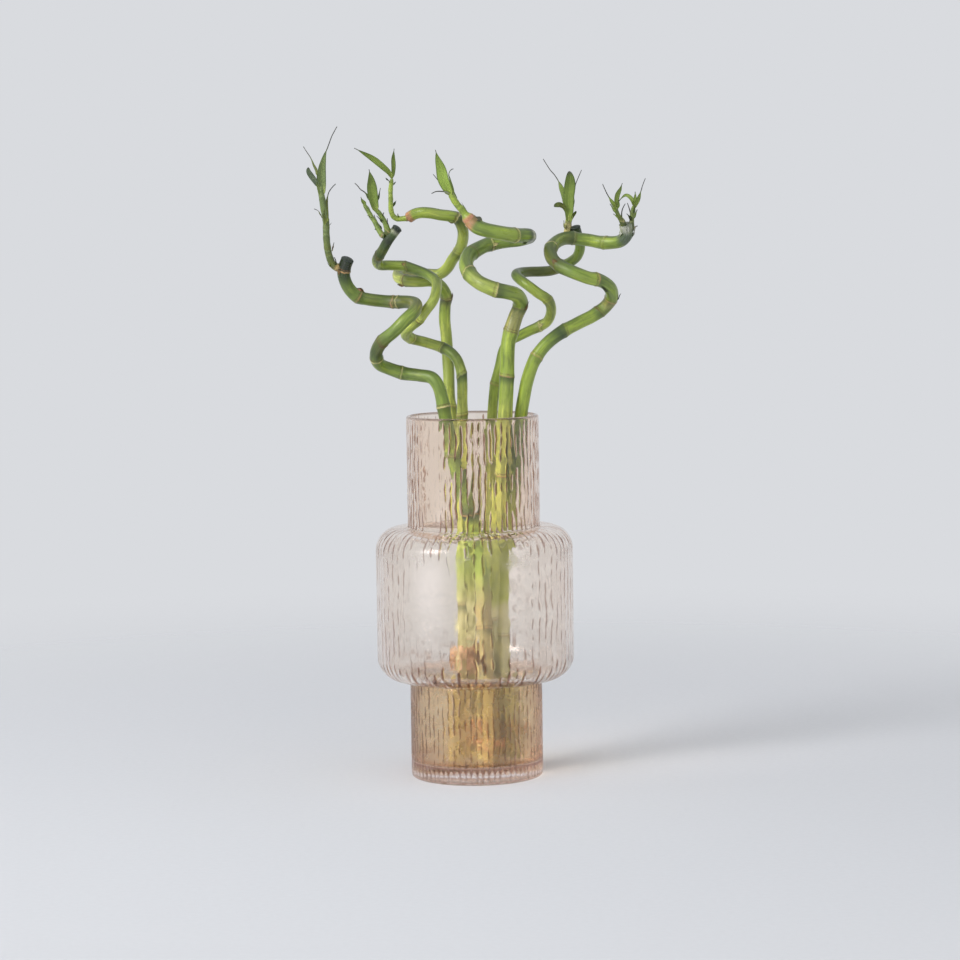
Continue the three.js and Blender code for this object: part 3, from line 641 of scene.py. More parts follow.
def clear_finish(
    name, index, tints, hazes, depth_tint, density, ripple_scale, ripple, shade, leak, lines=None,
):
    """
    A dyed, clear material: tints and hazes go by height, depth_tint and density are those of its thickness,
    shade is what a shadow ray passes through, and leak is the colour of the light that it lets go.
    """
    material, tree, output = new_finish(name)
    place = object_place(tree)
    waves = noise(tree, place, ripple_scale, 2.0)
    bump = relief(tree, waves, ripple, MM)
    clouding = ramp(tree, noise(tree, place, 90.0), 0.35, 0.75, 0.4, 1.0)
    haze = times(tree, clouding, height_colour(tree, hazes))
    cloud = ramp(tree, noise(tree, place, 45.0), 0.35, 0.7, 0.0, 0.03)
    colour = mix_colour(tree, cloud, height_colour(tree, tints), (0.6, 0.5, 0.45, 1.0))
    # Painted shade: dark lines in the grooves, along the crease, on the sill and in teeth round the base,
    # standing in for the dark strokes that bent light draws in ribbed glass.
    if lines:
        depth = ramp(tree, attribute(tree, "groove"), 0.12, 0.8, 0.0, 1.0)
        depth = times(tree, depth, height_colour(tree, lines))
        height = split_xyz(tree, place)["Z"]
        reach = vector_calc(tree, "LENGTH", vector_calc(tree, "MULTIPLY", place, (1.0, 1.0, 0.0)))
        for line in (crease_shade_line, sill_shade_line, tooth_shade_line):
            depth = calc(tree, "MAXIMUM", depth, line(tree, height, reach))
        # Painted shade: walls seen edge-on, found by Layer Weight, are mixed towards a dark brown.
        colour = mix_colour(tree, edge_shade(tree), colour, EDGE_SHADE_TINT)
        colour = mix_colour(tree, depth, colour, LINE_SHADE_TINT)
    surface = add_node(tree, "ShaderNodeBsdfPrincipled", {
        "Base Color": colour,
        "Roughness": haze,
        "IOR": index,
        "Transmission Weight": 1.0,
        "Normal": bump,
    })
    rays = tree.nodes.new("ShaderNodeLightPath")
    open_air = add_node(tree, "ShaderNodeBsdfTransparent", {"Color": shade})
    seep = add_node(tree, "ShaderNodeBsdfTransparent", {"Color": leak})
    leaks = add_node(tree, "ShaderNodeMixShader", {
        0: calc(tree, "GREATER_THAN", rays.outputs["Glossy Depth"], INNER_REFLECTIONS - 0.5),
        1: surface.outputs[0],
        2: seep.outputs[0],
    })
    skin = add_node(tree, "ShaderNodeMixShader", {
        0: rays.outputs["Is Shadow Ray"],
        1: leaks.outputs[0],
        2: open_air.outputs[0],
    })
    depth = add_node(tree, "ShaderNodeVolumeAbsorption", {"Color": depth_tint, "Density": density})
    tree.links.new(skin.outputs[0], output.inputs["Surface"])
    tree.links.new(depth.outputs[0], output.inputs["Volume"])
    return material


# %% Tints of the glass, by height in millimetres
def shares(*pairs):
    """Grey stops for a ladder of heights, from pairs of a height and a share."""
    return tuple((height, (share,) * 3) for height, share in pairs)


PEACH = (1.0, 0.905, 0.815)
BLUSH = (1.0, 0.952, 0.9)
AMBER = (0.98, 0.86, 0.7)
CLEAR = (1.0, 0.98, 1.0)
LIP_BROWN = (0.42, 0.31, 0.25)
UNDERSIDE = (0.88, 0.83, 0.8)
LINE_SHADE_TINT = (0.22, 0.09, 0.055, 1.0)
EDGE_SHADE_TINT = (0.44, 0.19, 0.12, 1.0)
GLASS_TINTS = (
    (0, UNDERSIDE), (0.9, UNDERSIDE), (1.2, (0.45, 0.32, 0.26)), (2.6, (0.5, 0.34, 0.27)),
    (3.8, CLEAR), (11.5, CLEAR), (13.5, (0.78, 0.52, 0.36)), (19, AMBER), (74.5, AMBER),
    (76.5, BLUSH), (188, BLUSH), (197, PEACH), (277.8, PEACH), (278.8, LIP_BROWN), (280, LIP_BROWN),
)
# How strongly painted shade darkens the tint in the grooves, by height.
LINE_SHADE_LEVELS = shares(
    (0, 0.7), (3.5, 0.6), (11, 0.6), (14, 0.9), (74, 0.9), (78, 1.0), (93, 1.0), (104, 0.8), (178, 0.8),
    (192, 0.9), (196, 1.0), (280, 1.0),
)
# How strongly painted edge shade darkens a wall seen along its thickness.
EDGE_SHADE_LEVELS = shares(
    (0, 0.2), (12, 0.2), (16, 0.9), (72, 0.9), (78, 0.12), (190, 0.12), (196, 0.24), (280, 0.24),
)
# How rough the glass is: hazy at the foot from standing water, and a little frosted at the shoulder's turn.
GLASS_HAZES = shares(
    (0, 0.03), (13, 0.03), (16, 0.4), (73, 0.4), (77, 0.1), (95, 0.16), (165, 0.16), (172, 0.34),
    (178, 0.34), (183, 0.03), (280, 0.03),
)
glass = clear_finish(
    "peach_glass", index=1.5, tints=GLASS_TINTS, hazes=GLASS_HAZES,
    depth_tint=(0.97, 0.76, 0.6, 1), density=4.0, ripple_scale=75.0, ripple=0.16,
    shade=(0.945, 0.945, 0.945, 1), leak=(0.93, 0.85, 0.79, 1), lines=LINE_SHADE_LEVELS,
)

# %% Vase
vase = grow("ribbed_vase", vase_start, rib_tree(), {"Finish": glass})
settle(vase, "glass", "vase")

# %% [markdown]
# ## Water
# The water fills the foot and ends at the dark line below the belly. Where water touches glass there is no
# air between them. Its surface is therefore made a hair wider than the hollow, so a ray goes straight from
# glass into water.

# %% Water
WATER_LEVEL = 77.5
BITE = 0.15  # how far the water reaches into the glass
WATER_SIDES = 192


def water_outline():
    reach = FOOT_RADIUS - WALL + BITE
    return [
        (0, FLOOR_TOP - BITE),
        *arc(reach - EDGE, FLOOR_TOP - BITE + EDGE, EDGE, -90, 0, 5),
        *upright(reach, FLOOR_TOP + EDGE, WATER_LEVEL, INSIDE_ROW),
        (reach, WATER_LEVEL),
        (0, WATER_LEVEL),
    ]


water_clear = clear_finish(
    "clear_water", index=1.333, tints=((0, (1, 1, 1)), (280, (0.99, 0.97, 0.94))),
    hazes=shares((0, 0.02), (280, 0.02)),
    depth_tint=(0.92, 0.82, 0.54, 1), density=5.0, ripple_scale=30.0, ripple=0.02,
    shade=(0.98, 0.98, 0.97, 1), leak=(0.96, 0.93, 0.88, 1),
)
water = place_object("water_body", turned("water_body", water_outline(), even_angles(WATER_SIDES)))
water.data.materials.append(water_clear)
water.data.shade_smooth()
settle(water, "water", "water")
print("water", len(water.data.vertices), "vertices, up to", WATER_LEVEL, "mm")

# %% [markdown]
# ## Canes
# A cane is a round stem with a joint ring every few centimetres, where a leaf once grew. The grower turned
# it towards the light again and again, which bent it into a spiral. Its middle line is a smooth curve
# through given points. The tree below sweeps a circle along that line, swells it at the joints,
# and leaves behind what the material needs: a seamless place on the skin and the distance to a ring.

# %% Smooth line through picked points
def smooth_line(points, per_span=32):
    """A centripetal Catmull-Rom curve: dense points on it, and the distance travelled at each."""
    picked = np.array(points, dtype=float)
    padded = np.vstack([2 * picked[0] - picked[1], picked, 2 * picked[-1] - picked[-2]])
    t = np.linspace(0, 1, per_span, endpoint=False)[:, None]
    pieces = []
    for before, start, end, after in zip(padded, padded[1:], padded[2:], padded[3:]):
        spans = ((before, start), (start, end), (end, after))
        near, here, far = (math.sqrt(np.linalg.norm(b - a)) for a, b in spans)
        leave = here * ((start - before) / near - (end - before) / (near + here) + (end - start) / here)
        reach = here * ((end - start) / here - (after - start) / (here + far) + (after - end) / far)
        bend = 3 * (end - start) - 2 * leave - reach
        twist = 2 * (start - end) + leave + reach
        pieces.append(start + leave * t + bend * t**2 + twist * t**3)
    dense = np.vstack([*pieces, picked[-1:]])
    travelled = np.concatenate([[0], np.cumsum(np.linalg.norm(np.diff(dense, axis=0), axis=1))])
    return dense, travelled


def walk(points, spacing):
    """Evenly spaced places on the smooth line, with the distance along it at each, in millimetres."""
    dense, travelled = smooth_line(points)
    at = np.linspace(0, travelled[-1], max(3, round(travelled[-1] / spacing) + 1))
    return at, np.stack([np.interp(at, travelled, dense[:, axis]) for axis in range(3)], axis=1)


def chain_mesh(name, chains):
    """One mesh of open chains. Each chain holds its points, in mm, and a value for each of them by name."""
    mesh = bpy.data.meshes.new(name)
    points = np.vstack([chain["points"] for chain in chains]) * MM
    edges = []
    start = 0
    for chain in chains:
        count = len(chain["points"])
        edges.extend((start + i, start + i + 1) for i in range(count - 1))
        start += count
    mesh.from_pydata(points.tolist(), edges, [])
    kinds = {1: "FLOAT", 3: "FLOAT_VECTOR", 4: "FLOAT_COLOR"}
    for label in chains[0]:
        if label == "points":
            continue
        values = np.concatenate([np.asarray(chain[label], dtype=float) for chain in chains])
        set_attribute(mesh, label, kinds[1 if values.ndim == 1 else values.shape[1]], values)
    return mesh


# %% Geometry tree that sweeps a jointed stem
def stem_tree():
    sizes = {
        "Sides": 40, "Ring Height": 0.3 * MM, "Ring Width": 0.8 * MM, "Swell": 0.3 * MM, "Notch": 1.6 * MM,
    }
    tree, given = geometry_tree("jointed_stem", sizes)
    line = add_node(tree, "GeometryNodeMeshToCurve", {"Mesh": given["Geometry"]}).outputs[0]
    round_section = {"Resolution": given["Sides"], "Radius": 1.0}
    circle = add_node(tree, "GeometryNodeCurvePrimitiveCircle", round_section)
    place = tree.nodes.new("GeometryNodeInputPosition").outputs[0]
    profile = keep(tree, circle.outputs[0], "rim", place, "FLOAT_VECTOR")
    radius = named(tree, "girth")
    tube = add_node(tree, "GeometryNodeCurveToMesh", {
        "Curve": line, "Profile Curve": profile, "Scale": radius, "Fill Caps": True,
    }).outputs[0]
    rim = named(tree, "rim", "FLOAT_VECTOR")
    outward = scaled(tree, rim, radius)
    lean = vector_calc(tree, "DOT_PRODUCT", outward, named(tree, "lean", "FLOAT_VECTOR"))
    facing = vector_calc(tree, "DOT_PRODUCT", rim, named(tree, "notch", "FLOAT_VECTOR"))
    dip = ramp(tree, facing, 0.55, 1.0, 0.0, given["Notch"])
    ring = calc(tree, "ADD", calc(tree, "ADD", named(tree, "joint"), lean), dip)
    tube = keep(tree, tube, "ring", ring)
    along = join_xyz(tree, Z=named(tree, "along"))
    tube = keep(tree, tube, "skin", vector_calc(tree, "ADD", outward, along), "FLOAT_VECTOR")
    ring = named(tree, "ring")
    narrow = calc(tree, "DIVIDE", ring, given["Ring Width"])
    ridge = times(tree, hump(tree, narrow), given["Ring Height"])
    wide = hump(tree, times(tree, narrow, 0.2))
    height = calc(tree, "MULTIPLY_ADD", wide, given["Swell"], ridge)
    offset = scaled(tree, tree.nodes.new("GeometryNodeInputNormal").outputs[0], height)
    moved = add_node(tree, "GeometryNodeSetPosition", {"Geometry": tube, "Offset": offset})
    close_tree(tree, moved.outputs[0], given["Finish"])
    return tree


jointed_stem = stem_tree()

# %% Tones of the plant
SCREEN_TONES = {
    "straw": (184, 166, 118), "milky": (206, 200, 154), "sage": (228, 223, 178), "lime": (194, 200, 106),
    "pale": (170, 183, 90), "khaki": (150, 148, 92), "bright": (144, 170, 74), "fresh": (152, 171, 70),
    "leaf": (123, 144, 64), "moss": (118, 136, 84), "olive": (92, 100, 44), "deep": (60, 78, 38),
    "dusk": (34, 42, 28), "grey": (150, 152, 134), "slate": (92, 104, 88), "ash": (190, 190, 180),
    "cream": (214, 198, 138), "tan": (178, 140, 92), "pink": (196, 140, 110), "brown": (104, 70, 42),
    "withered": (70, 70, 64),
}
TONES = {name: linear(*channels) for name, channels in SCREEN_TONES.items()}

# %% The six canes
# Colour stops that several canes share inside the vase. The canes on the right have paler feet: painted
# light that makes up for the shade they stand in inside the belly.
PLAIN_FOOT = ((60, "straw"), (85, "milky"), (118, "milky"), (150, "pale"), (195, "lime"), (260, "lime"))
SHADE_LIFTED_FOOT = ((60, "milky"), (85, "sage"), (116, "sage"), (124, "lime"))
# Radii, joint rings and colour stops are in millimetres along the cane; paths run from the foot to the tip.
# A joint may say how dark the band below it is, from 0 to 1; otherwise that is drawn at random.
CANES = {
    "front_left": {
        "radii": (5.1, 4.8),
        "joints": (
            (105, "tan"), (193, "tan"), (238, "brown"), (278, "cream"), (328, "cream"), (356, "cream"),
            (375, "brown"), (442, "cream"), (446, "pink", 0.0), (474, "tan"), (501, "tan"),
        ),
        "stops": (
            (118, "straw"), (150, "fresh"), (185, "fresh"), (192, "deep"), (205, "leaf"), (350, "leaf"),
            (362, "deep"), (374, "olive"), (382, "leaf"), (405, "leaf"), (416, "khaki"), (428, "olive"),
            (440, "olive"), (470, "leaf"), (484, "leaf"), (496, "deep"), (504, "dusk"),
        ),
        "path": (
            (9, -13, 13.6), (9, -17, 70), (7, -19, 119), (5, -20, 165), (-3, -21, 205), (-11, -23, 235),
            (-17, -24, 262), (-20.5, -25, 280), (-23, -26, 295), (-25.5, -27, 304), (-30, -25, 310),
            (-40, -20, 312), (-51.5, -16, 313.5), (-63, -19, 317.5), (-70, -25, 321.5), (-72, -33, 329.5),
            (-67.5, -41, 338.5), (-57.5, -47, 347), (-49.5, -48, 355), (-42.5, -42, 361.5),
            (-41.5, -33, 366.5), (-47.5, -24, 368), (-57.5, -18, 368), (-69, -16, 369), (-78.5, -19, 370.5),
            (-85.5, -22, 372.5), (-92.5, -28, 380), (-95.5, -33, 389.5), (-94.5, -35, 395.5),
            (-92.5, -37, 400.5),
        ),
    },
    "left": {
        "radii": (4.3, 3.8),
        "joints": (
            (120, "tan"), (224, "tan"), (267, "tan"), (298, "khaki", 1.0), (326, "khaki", 1.0),
            (354, "cream"), (389, "brown"), (462, "brown"), (501, "brown"),
        ),
        "stops": (
            *PLAIN_FOOT, (286, "pale"), (297, "leaf"), (300, "pale"), (318, "leaf"), (328, "pale"),
            (425, "pale"), (440, "leaf"), (461, "leaf"), (465, "fresh"), (490, "fresh"), (499, "olive"),
            (503, "deep"), (508, "olive"), (512, "deep"), (517, "dusk"), (523, "deep"), (525, "grey"),
            (527, "dusk"),
        ),
        "path": (
            (-13, -5, 13.6), (-12, -5, 70), (-11, -4, 119), (-10, -3, 165), (-9, -3, 215), (-8, -3, 255),
            (-7.5, -3, 291), (-7.5, -3, 309.5), (-8.5, -2, 315.5), (-11, 0, 322.5), (-16.5, 4, 328.5),
            (-23.5, 8, 332), (-35.5, 9, 336), (-45.5, 4, 339), (-50, -6, 342.5), (-47, -16, 348),
            (-40, -23, 354), (-33.5, -26, 362), (-28.5, -24, 368.5), (-26, -17, 376), (-26, -7, 382.5),
            (-31.5, 2, 387.5), (-39.5, 7, 391), (-50, 8, 394.5), (-61.5, 6, 395.5), (-69.5, 0, 396),
            (-71, -8, 400), (-66.5, -17, 407), (-62, -22, 414.5), (-55, -24, 423.5),
        ),
    },
    "rear_left": {
        "radii": (4.7, 4.3),
        "joints": (
            (90, "tan"), (190, "tan"), (273, "tan"), (359, "brown", 1.0), (401, "brown"), (483, "khaki"),
            (518, "cream"),
        ),
        "stops": (
            *PLAIN_FOOT, (290, "pale"), (335, "pale"), (350, "fresh"), (358, "khaki"), (364, "fresh"),
            (400, "pale"), (436, "milky"), (455, "pale"), (500, "pale"), (516, "olive"), (522, "fresh"),
            (551, "fresh"), (554, "pink"),
        ),
        "path": (
            (-3, 12, 13.6), (-3, 13, 80), (-4, 17, 140), (-8, 21, 200), (-13, 24, 250), (-16, 26, 280.5),
            (-17.5, 28, 290), (-18, 31, 313), (-19.5, 35, 340.5), (-20.5, 37, 352), (-20, 37, 363),
            (-19, 34, 370.5), (-23, 28, 378.5), (-29.5, 23, 382.5), (-39, 20, 382.5), (-48, 22, 383),
            (-55.5, 30, 385.5), (-55, 40, 389.5), (-45.5, 48, 389), (-34, 51, 387.5), (-24, 49, 387.5),
            (-18, 45, 392), (-13.5, 41, 399), (-8.5, 37, 405.5), (-5.5, 32, 414), (-5.5, 26, 422.5),
            (-9.5, 20, 430.5), (-15, 16, 432.5), (-22, 14, 433.5), (-29.5, 13, 435), (-36.5, 14, 435.5),
            (-42, 17, 434.5), (-46.5, 20, 432),
        ),
    },
    "centre": {
        "radii": (5.8, 5.5),
        "joints": (
            (110, "tan"), (223, "tan"), (299, "tan", 1.0), (333, "brown", 0.1), (355, "brown"),
            (389, "cream", 1.0), (417, "cream"), (445, "brown"), (466, "cream"), (527, "cream"),
        ),
        "stops": (
            *SHADE_LIFTED_FOOT, (260, "lime"), (284, "fresh"), (298, "leaf"), (300, "fresh"), (330, "fresh"),
            (335, "khaki"), (350, "khaki"), (357, "leaf"), (372, "fresh"), (386, "leaf"), (390, "pale"),
            (416, "pale"), (420, "fresh"), (442, "leaf"), (500, "leaf"), (505, "slate"), (509, "ash"),
            (512, "slate"), (516, "leaf"), (524, "leaf"), (530, "fresh"), (558, "leaf"), (561, "pink"),
            (565, "tan"),
        ),
        "path": (
            (4, 0, 13.6), (9, 0, 80), (13, -4, 140), (19, -9, 200), (23, -15, 250), (25, -18, 278.5),
            (26, -19, 296), (27, -19, 313.5), (28, -18, 334), (30.5, -17, 344.5), (34, -16, 355),
            (38, -19, 365), (35, -28, 372), (27, -37, 375), (20, -41, 376.5), (13.5, -42, 379),
            (6.5, -39, 382.5), (0, -31, 388.5), (-3, -20, 396), (-0.5, -10, 402.5), (7, -2, 407.5),
            (14.5, 3, 410.5), (27, 4, 413), (37.5, 0, 414), (45, -10, 416), (43.5, -20, 417),
            (33.5, -32, 417.5), (23, -39, 419.5), (11.5, -41, 422), (5.5, -40, 424.5), (0.5, -38, 429),
        ),
    },
    "rear_right": {
        "radii": (4.1, 3.9),
        "joints": (
            (100, "tan"), (229, "tan"), (289, "tan", 0.1), (352, "cream", 0.3), (385, "khaki"),
            (473, "brown"),
        ),
        "stops": (
            *SHADE_LIFTED_FOOT, (240, "lime"), (280, "fresh"), (344, "fresh"), (354, "pale"), (385, "pale"),
            (400, "fresh"), (420, "leaf"), (440, "olive"), (466, "olive"), (478, "leaf"), (500, "leaf"),
            (508, "deep"), (512, "dusk"),
        ),
        "path": (
            (12, 14, 13.6), (12, 15, 80), (12, 17, 140), (13, 19, 200), (14, 20, 250), (15.5, 20, 278.5),
            (16.5, 20, 290), (18, 20, 301.5), (22, 20, 317), (25, 22, 328.5), (30, 25, 335.5),
            (37, 27, 339), (45.5, 28, 343), (53.5, 27, 346.5), (59, 24, 350), (62, 17, 357.5),
            (61, 10, 364.5), (58, 6, 368.5), (52, 4, 372.5), (45, 5, 378), (39, 10, 382.5),
            (35.5, 19, 386.5), (38.5, 28, 388), (46.5, 34, 388.5), (54, 36, 388.5), (62, 36, 389),
            (69, 34, 391), (75, 30, 394), (79.5, 26, 397), (83, 22, 400.5), (85, 17, 407.5),
            (83.5, 14, 414.5), (81.5, 12, 422),
        ),
    },
    "front_right": {
        "radii": (5.0, 4.9),
        "joints": (
            (95, "tan"), (219, "tan"), (316, "tan", 0.5), (346, "olive", 1.0), (377, "brown"),
            (392, "pink"), (423, "tan"), (456, "brown"), (480, "cream"), (505, "khaki"), (531, "khaki"),
        ),
        "stops": (
            *SHADE_LIFTED_FOOT, (190, "lime"), (225, "leaf"), (262, "leaf"), (269, "fresh"), (316, "fresh"),
            (328, "leaf"), (342, "deep"), (348, "fresh"), (370, "fresh"), (377, "leaf"), (390, "khaki"),
            (394, "leaf"), (421, "leaf"), (426, "fresh"), (444, "leaf"), (458, "olive"), (474, "olive"),
            (484, "leaf"), (503, "olive"), (508, "leaf"), (530, "fresh"), (543, "leaf"), (548, "slate"),
            (554, "slate"), (558, "ash"),
        ),
        "path": (
            (22, 3, 13.6), (21, 5, 60), (21, 7, 119), (24, 6, 175), (29.5, 0, 220), (35, -7, 258),
            (37.5, -12, 281.5), (39.5, -14, 293), (42.5, -16, 307), (48, -18, 322), (55.5, -18, 332.5),
            (66.5, -16, 341.5), (82.5, -12, 350), (94, -9, 355.5), (103.5, -9, 362.5), (107.5, -15, 369.5),
            (106.5, -23, 375.5), (102.5, -29, 380), (96.5, -34, 383), (89.5, -38, 384.5),
            (81.5, -40, 387.5), (74.5, -38, 390.5), (67.5, -33, 394), (62, -25, 400), (61.5, -16, 406.5),
            (66, -8, 411.5), (71.5, -3, 414), (77.5, 0, 414.5), (84.5, 2, 413.5), (92, 3, 412.5),
            (99.5, 1, 411), (108, -4, 410.5), (115.5, -9, 412), (119.5, -13, 417), (118.5, -16, 424.5),
        ),
    },
}

# %% Cane chains
CANE_SPACING = 0.9  # mm between rings of points
UNEVEN_SPACING = 9  # mm between places where a cane's thickness may change


def tint_along(at, stops):
    """The colour at each distance, blended between the stops."""
    where = [distance for distance, _ in stops]
    colours = np.array([TONES[tone] for _, tone in stops])
    return np.stack([np.interp(at, where, colours[:, channel]) for channel in range(4)], axis=1)


def joint_distances(at, joints):
    """The signed distance to the nearest joint, and which joint that is."""
    gaps = at[:, None] - np.array(joints, dtype=float)[None, :]
    nearest = np.abs(gaps).argmin(axis=1)
    return gaps[np.arange(len(at)), nearest], nearest


def cane_chain(cane, seed):
    """A cane's chain, with the colour, the nearest ring and the thickness at each place."""
    draw = np.random.default_rng(seed)
    at, points = walk(cane["path"], CANE_SPACING)
    gap, nearest = joint_distances(at, [joint[0] for joint in cane["joints"]])
    leans = draw.uniform(-0.25, 0.25, (len(cane["joints"]), 3))
    notches = draw.normal(size=leans.shape)
    notches /= np.linalg.norm(notches, axis=1)[:, None]
    rings = np.array([TONES[joint[1]] for joint in cane["joints"]])
    bands = np.array([joint[2] if len(joint) > 2 else draw.uniform(0.2, 0.8) for joint in cane["joints"]])
    knots = np.arange(0, at[-1] + UNEVEN_SPACING, UNEVEN_SPACING)
    uneven = np.interp(at, knots, draw.uniform(0.975, 1.025, len(knots)))
    return {
        "points": points,
        "along": at * MM,
        "girth": np.interp(at, [0, at[-1]], cane["radii"]) * uneven * MM,
        "joint": gap * MM,
        "lean": leans[nearest],
        "notch": notches[nearest],
        "hue": tint_along(at, cane["stops"]),
        "ring_hue": rings[nearest],
        "band": bands[nearest],
    }


# %% [markdown]
# ## Skin of the canes
# Close up, a cane is striped lengthways by its fibres and blotched with darker green. Its pale streaks are
# partly its own striping and partly a painted sheen, and its upper side is painted darker as painted shade.
# Each joint is a thin dry line, cream to brown, with a dip where the bud sat and a dark band below it. A
# photograph could be wrapped round the stem, but its seam and its joints would not fit the bends, so the
# pattern is made from the skin's own coordinates.

# %% Cane finish
def cane_finish(name, boldness):
    """The skin of a stem; boldness scales its streaks, blotches, painted sheen and painted top shade."""
    material, tree, output = new_finish(name)
    skin = attribute(tree, "skin", "Vector")
    ring = attribute(tree, "ring")
    fibres = noise(tree, vector_calc(tree, "MULTIPLY", skin, (1.0, 1.0, 0.03)), 800.0, 4.0, 0.65)
    streaks = noise(tree, vector_calc(tree, "MULTIPLY", skin, (1.0, 1.0, 0.09)), 420.0, 2.0, 0.6)
    blotches = noise(tree, vector_calc(tree, "MULTIPLY", skin, (1.0, 1.0, 0.5)), 130.0, 4.0, 0.6)
    patches = noise(tree, skin, 34.0, 2.0)
    colour = attribute(tree, "hue", "Color")
    height = split_xyz(tree, object_place(tree))["Z"]
    green = ramp(tree, height, 90 * MM, 240 * MM, 0.25 * boldness, boldness)
    colour = mix_colour(tree, ramp(tree, patches, 0.5, 0.75, 0.0, 0.35), colour, TONES["khaki"])
    for pattern, low, high, strength in ((blotches, 0.46, 0.7, 0.42), (streaks, 0.54, 0.68, 0.36)):
        share = times(tree, ramp(tree, pattern, low, high, 0.0, strength), green)
        colour = mix_colour(tree, share, colour, TONES["deep"])
    # Pale streaks along the fibres, lightened by dodge: partly the skin's own striping and partly a painted
    # sheen.
    light = times(tree, ramp(tree, streaks, 0.34, 0.47, 0.9, 0.0), green)
    colour = mix_colour(tree, light, colour, (0.34, 0.3, 0.2, 1.0), "DODGE")
    colour = mix_colour(tree, ramp(tree, fibres, 0.35, 0.7, 0.0, 0.5), colour, TONES["pale"], "SOFT_LIGHT")
    # Painted shade: the upper side of a stem, found by its normal, is mixed towards deep green.
    upward = split_xyz(tree, tree.nodes.new("ShaderNodeNewGeometry").outputs["Normal"])["Z"]
    painted_top_shade = times(tree, ramp(tree, upward, 0.45, 0.95, 0.0, 0.7), green)
    colour = mix_colour(tree, painted_top_shade, colour, TONES["deep"])
    below = ramp(tree, ring, -8.0 * MM, -0.5 * MM, 0.0, 0.75)
    under = times(tree, below, calc(tree, "LESS_THAN", ring, 0.0))
    colour = mix_colour(tree, times(tree, under, attribute(tree, "band")), colour, TONES["deep"])
    ragged = times(tree, calc(tree, "SUBTRACT", fibres, 0.5), 2.6 * MM)
    edge = calc(tree, "ABSOLUTE", calc(tree, "ADD", ring, ragged))
    worn = ramp(tree, blotches, 0.35, 0.55, 0.95, 0.4)
    line = times(tree, ramp(tree, edge, 0.2 * MM, 0.9 * MM, 1.0, 0.0), worn)
    colour = mix_colour(tree, line, colour, attribute(tree, "ring_hue", "Color"))
    scar = calc(tree, "ABSOLUTE", calc(tree, "ADD", calc(tree, "SUBTRACT", ring, 1.7 * MM), ragged))
    scar = ramp(tree, scar, 0.1 * MM, 0.7 * MM, 0.8 * boldness, 0.0)
    colour = mix_colour(tree, times(tree, scar, worn), colour, TONES["brown"])
    grain = calc(tree, "MULTIPLY_ADD", streaks, 0.6, fibres)
    bump = relief(tree, grain, 0.4, 0.4 * MM)
    finish_with(tree, output, {
        "Base Color": colour,
        "Roughness": ramp(tree, blotches, 0.3, 0.7, 0.27, 0.47),
        "Normal": bump,
        "Specular IOR Level": 0.55,
        "Coat Weight": 0.15,
        "Coat Roughness": 0.2,
    })
    return material


cane_skin = cane_finish("cane_skin", 1.0)
for number, (side, cane) in enumerate(CANES.items()):
    start = chain_mesh("cane_" + side, [cane_chain(cane, 11 + number)])
    piece = grow("spiral_cane_" + side, start, jointed_stem, {"Finish": cane_skin})
    settle(piece, "cane", "cane_" + side)

# %% [markdown]
# ## Shoots
# Each cane ends in one or two shoots. A shoot is a thin stem with a swollen, dry foot. It is wrapped in
# leaf bases and carries small pointed scales low down and narrow leaves at its top. The stems come from the
# same tree as the canes. A second tree makes the blades: it sweeps a thin folded section along a line, as
# wide as the leaf is at each place.

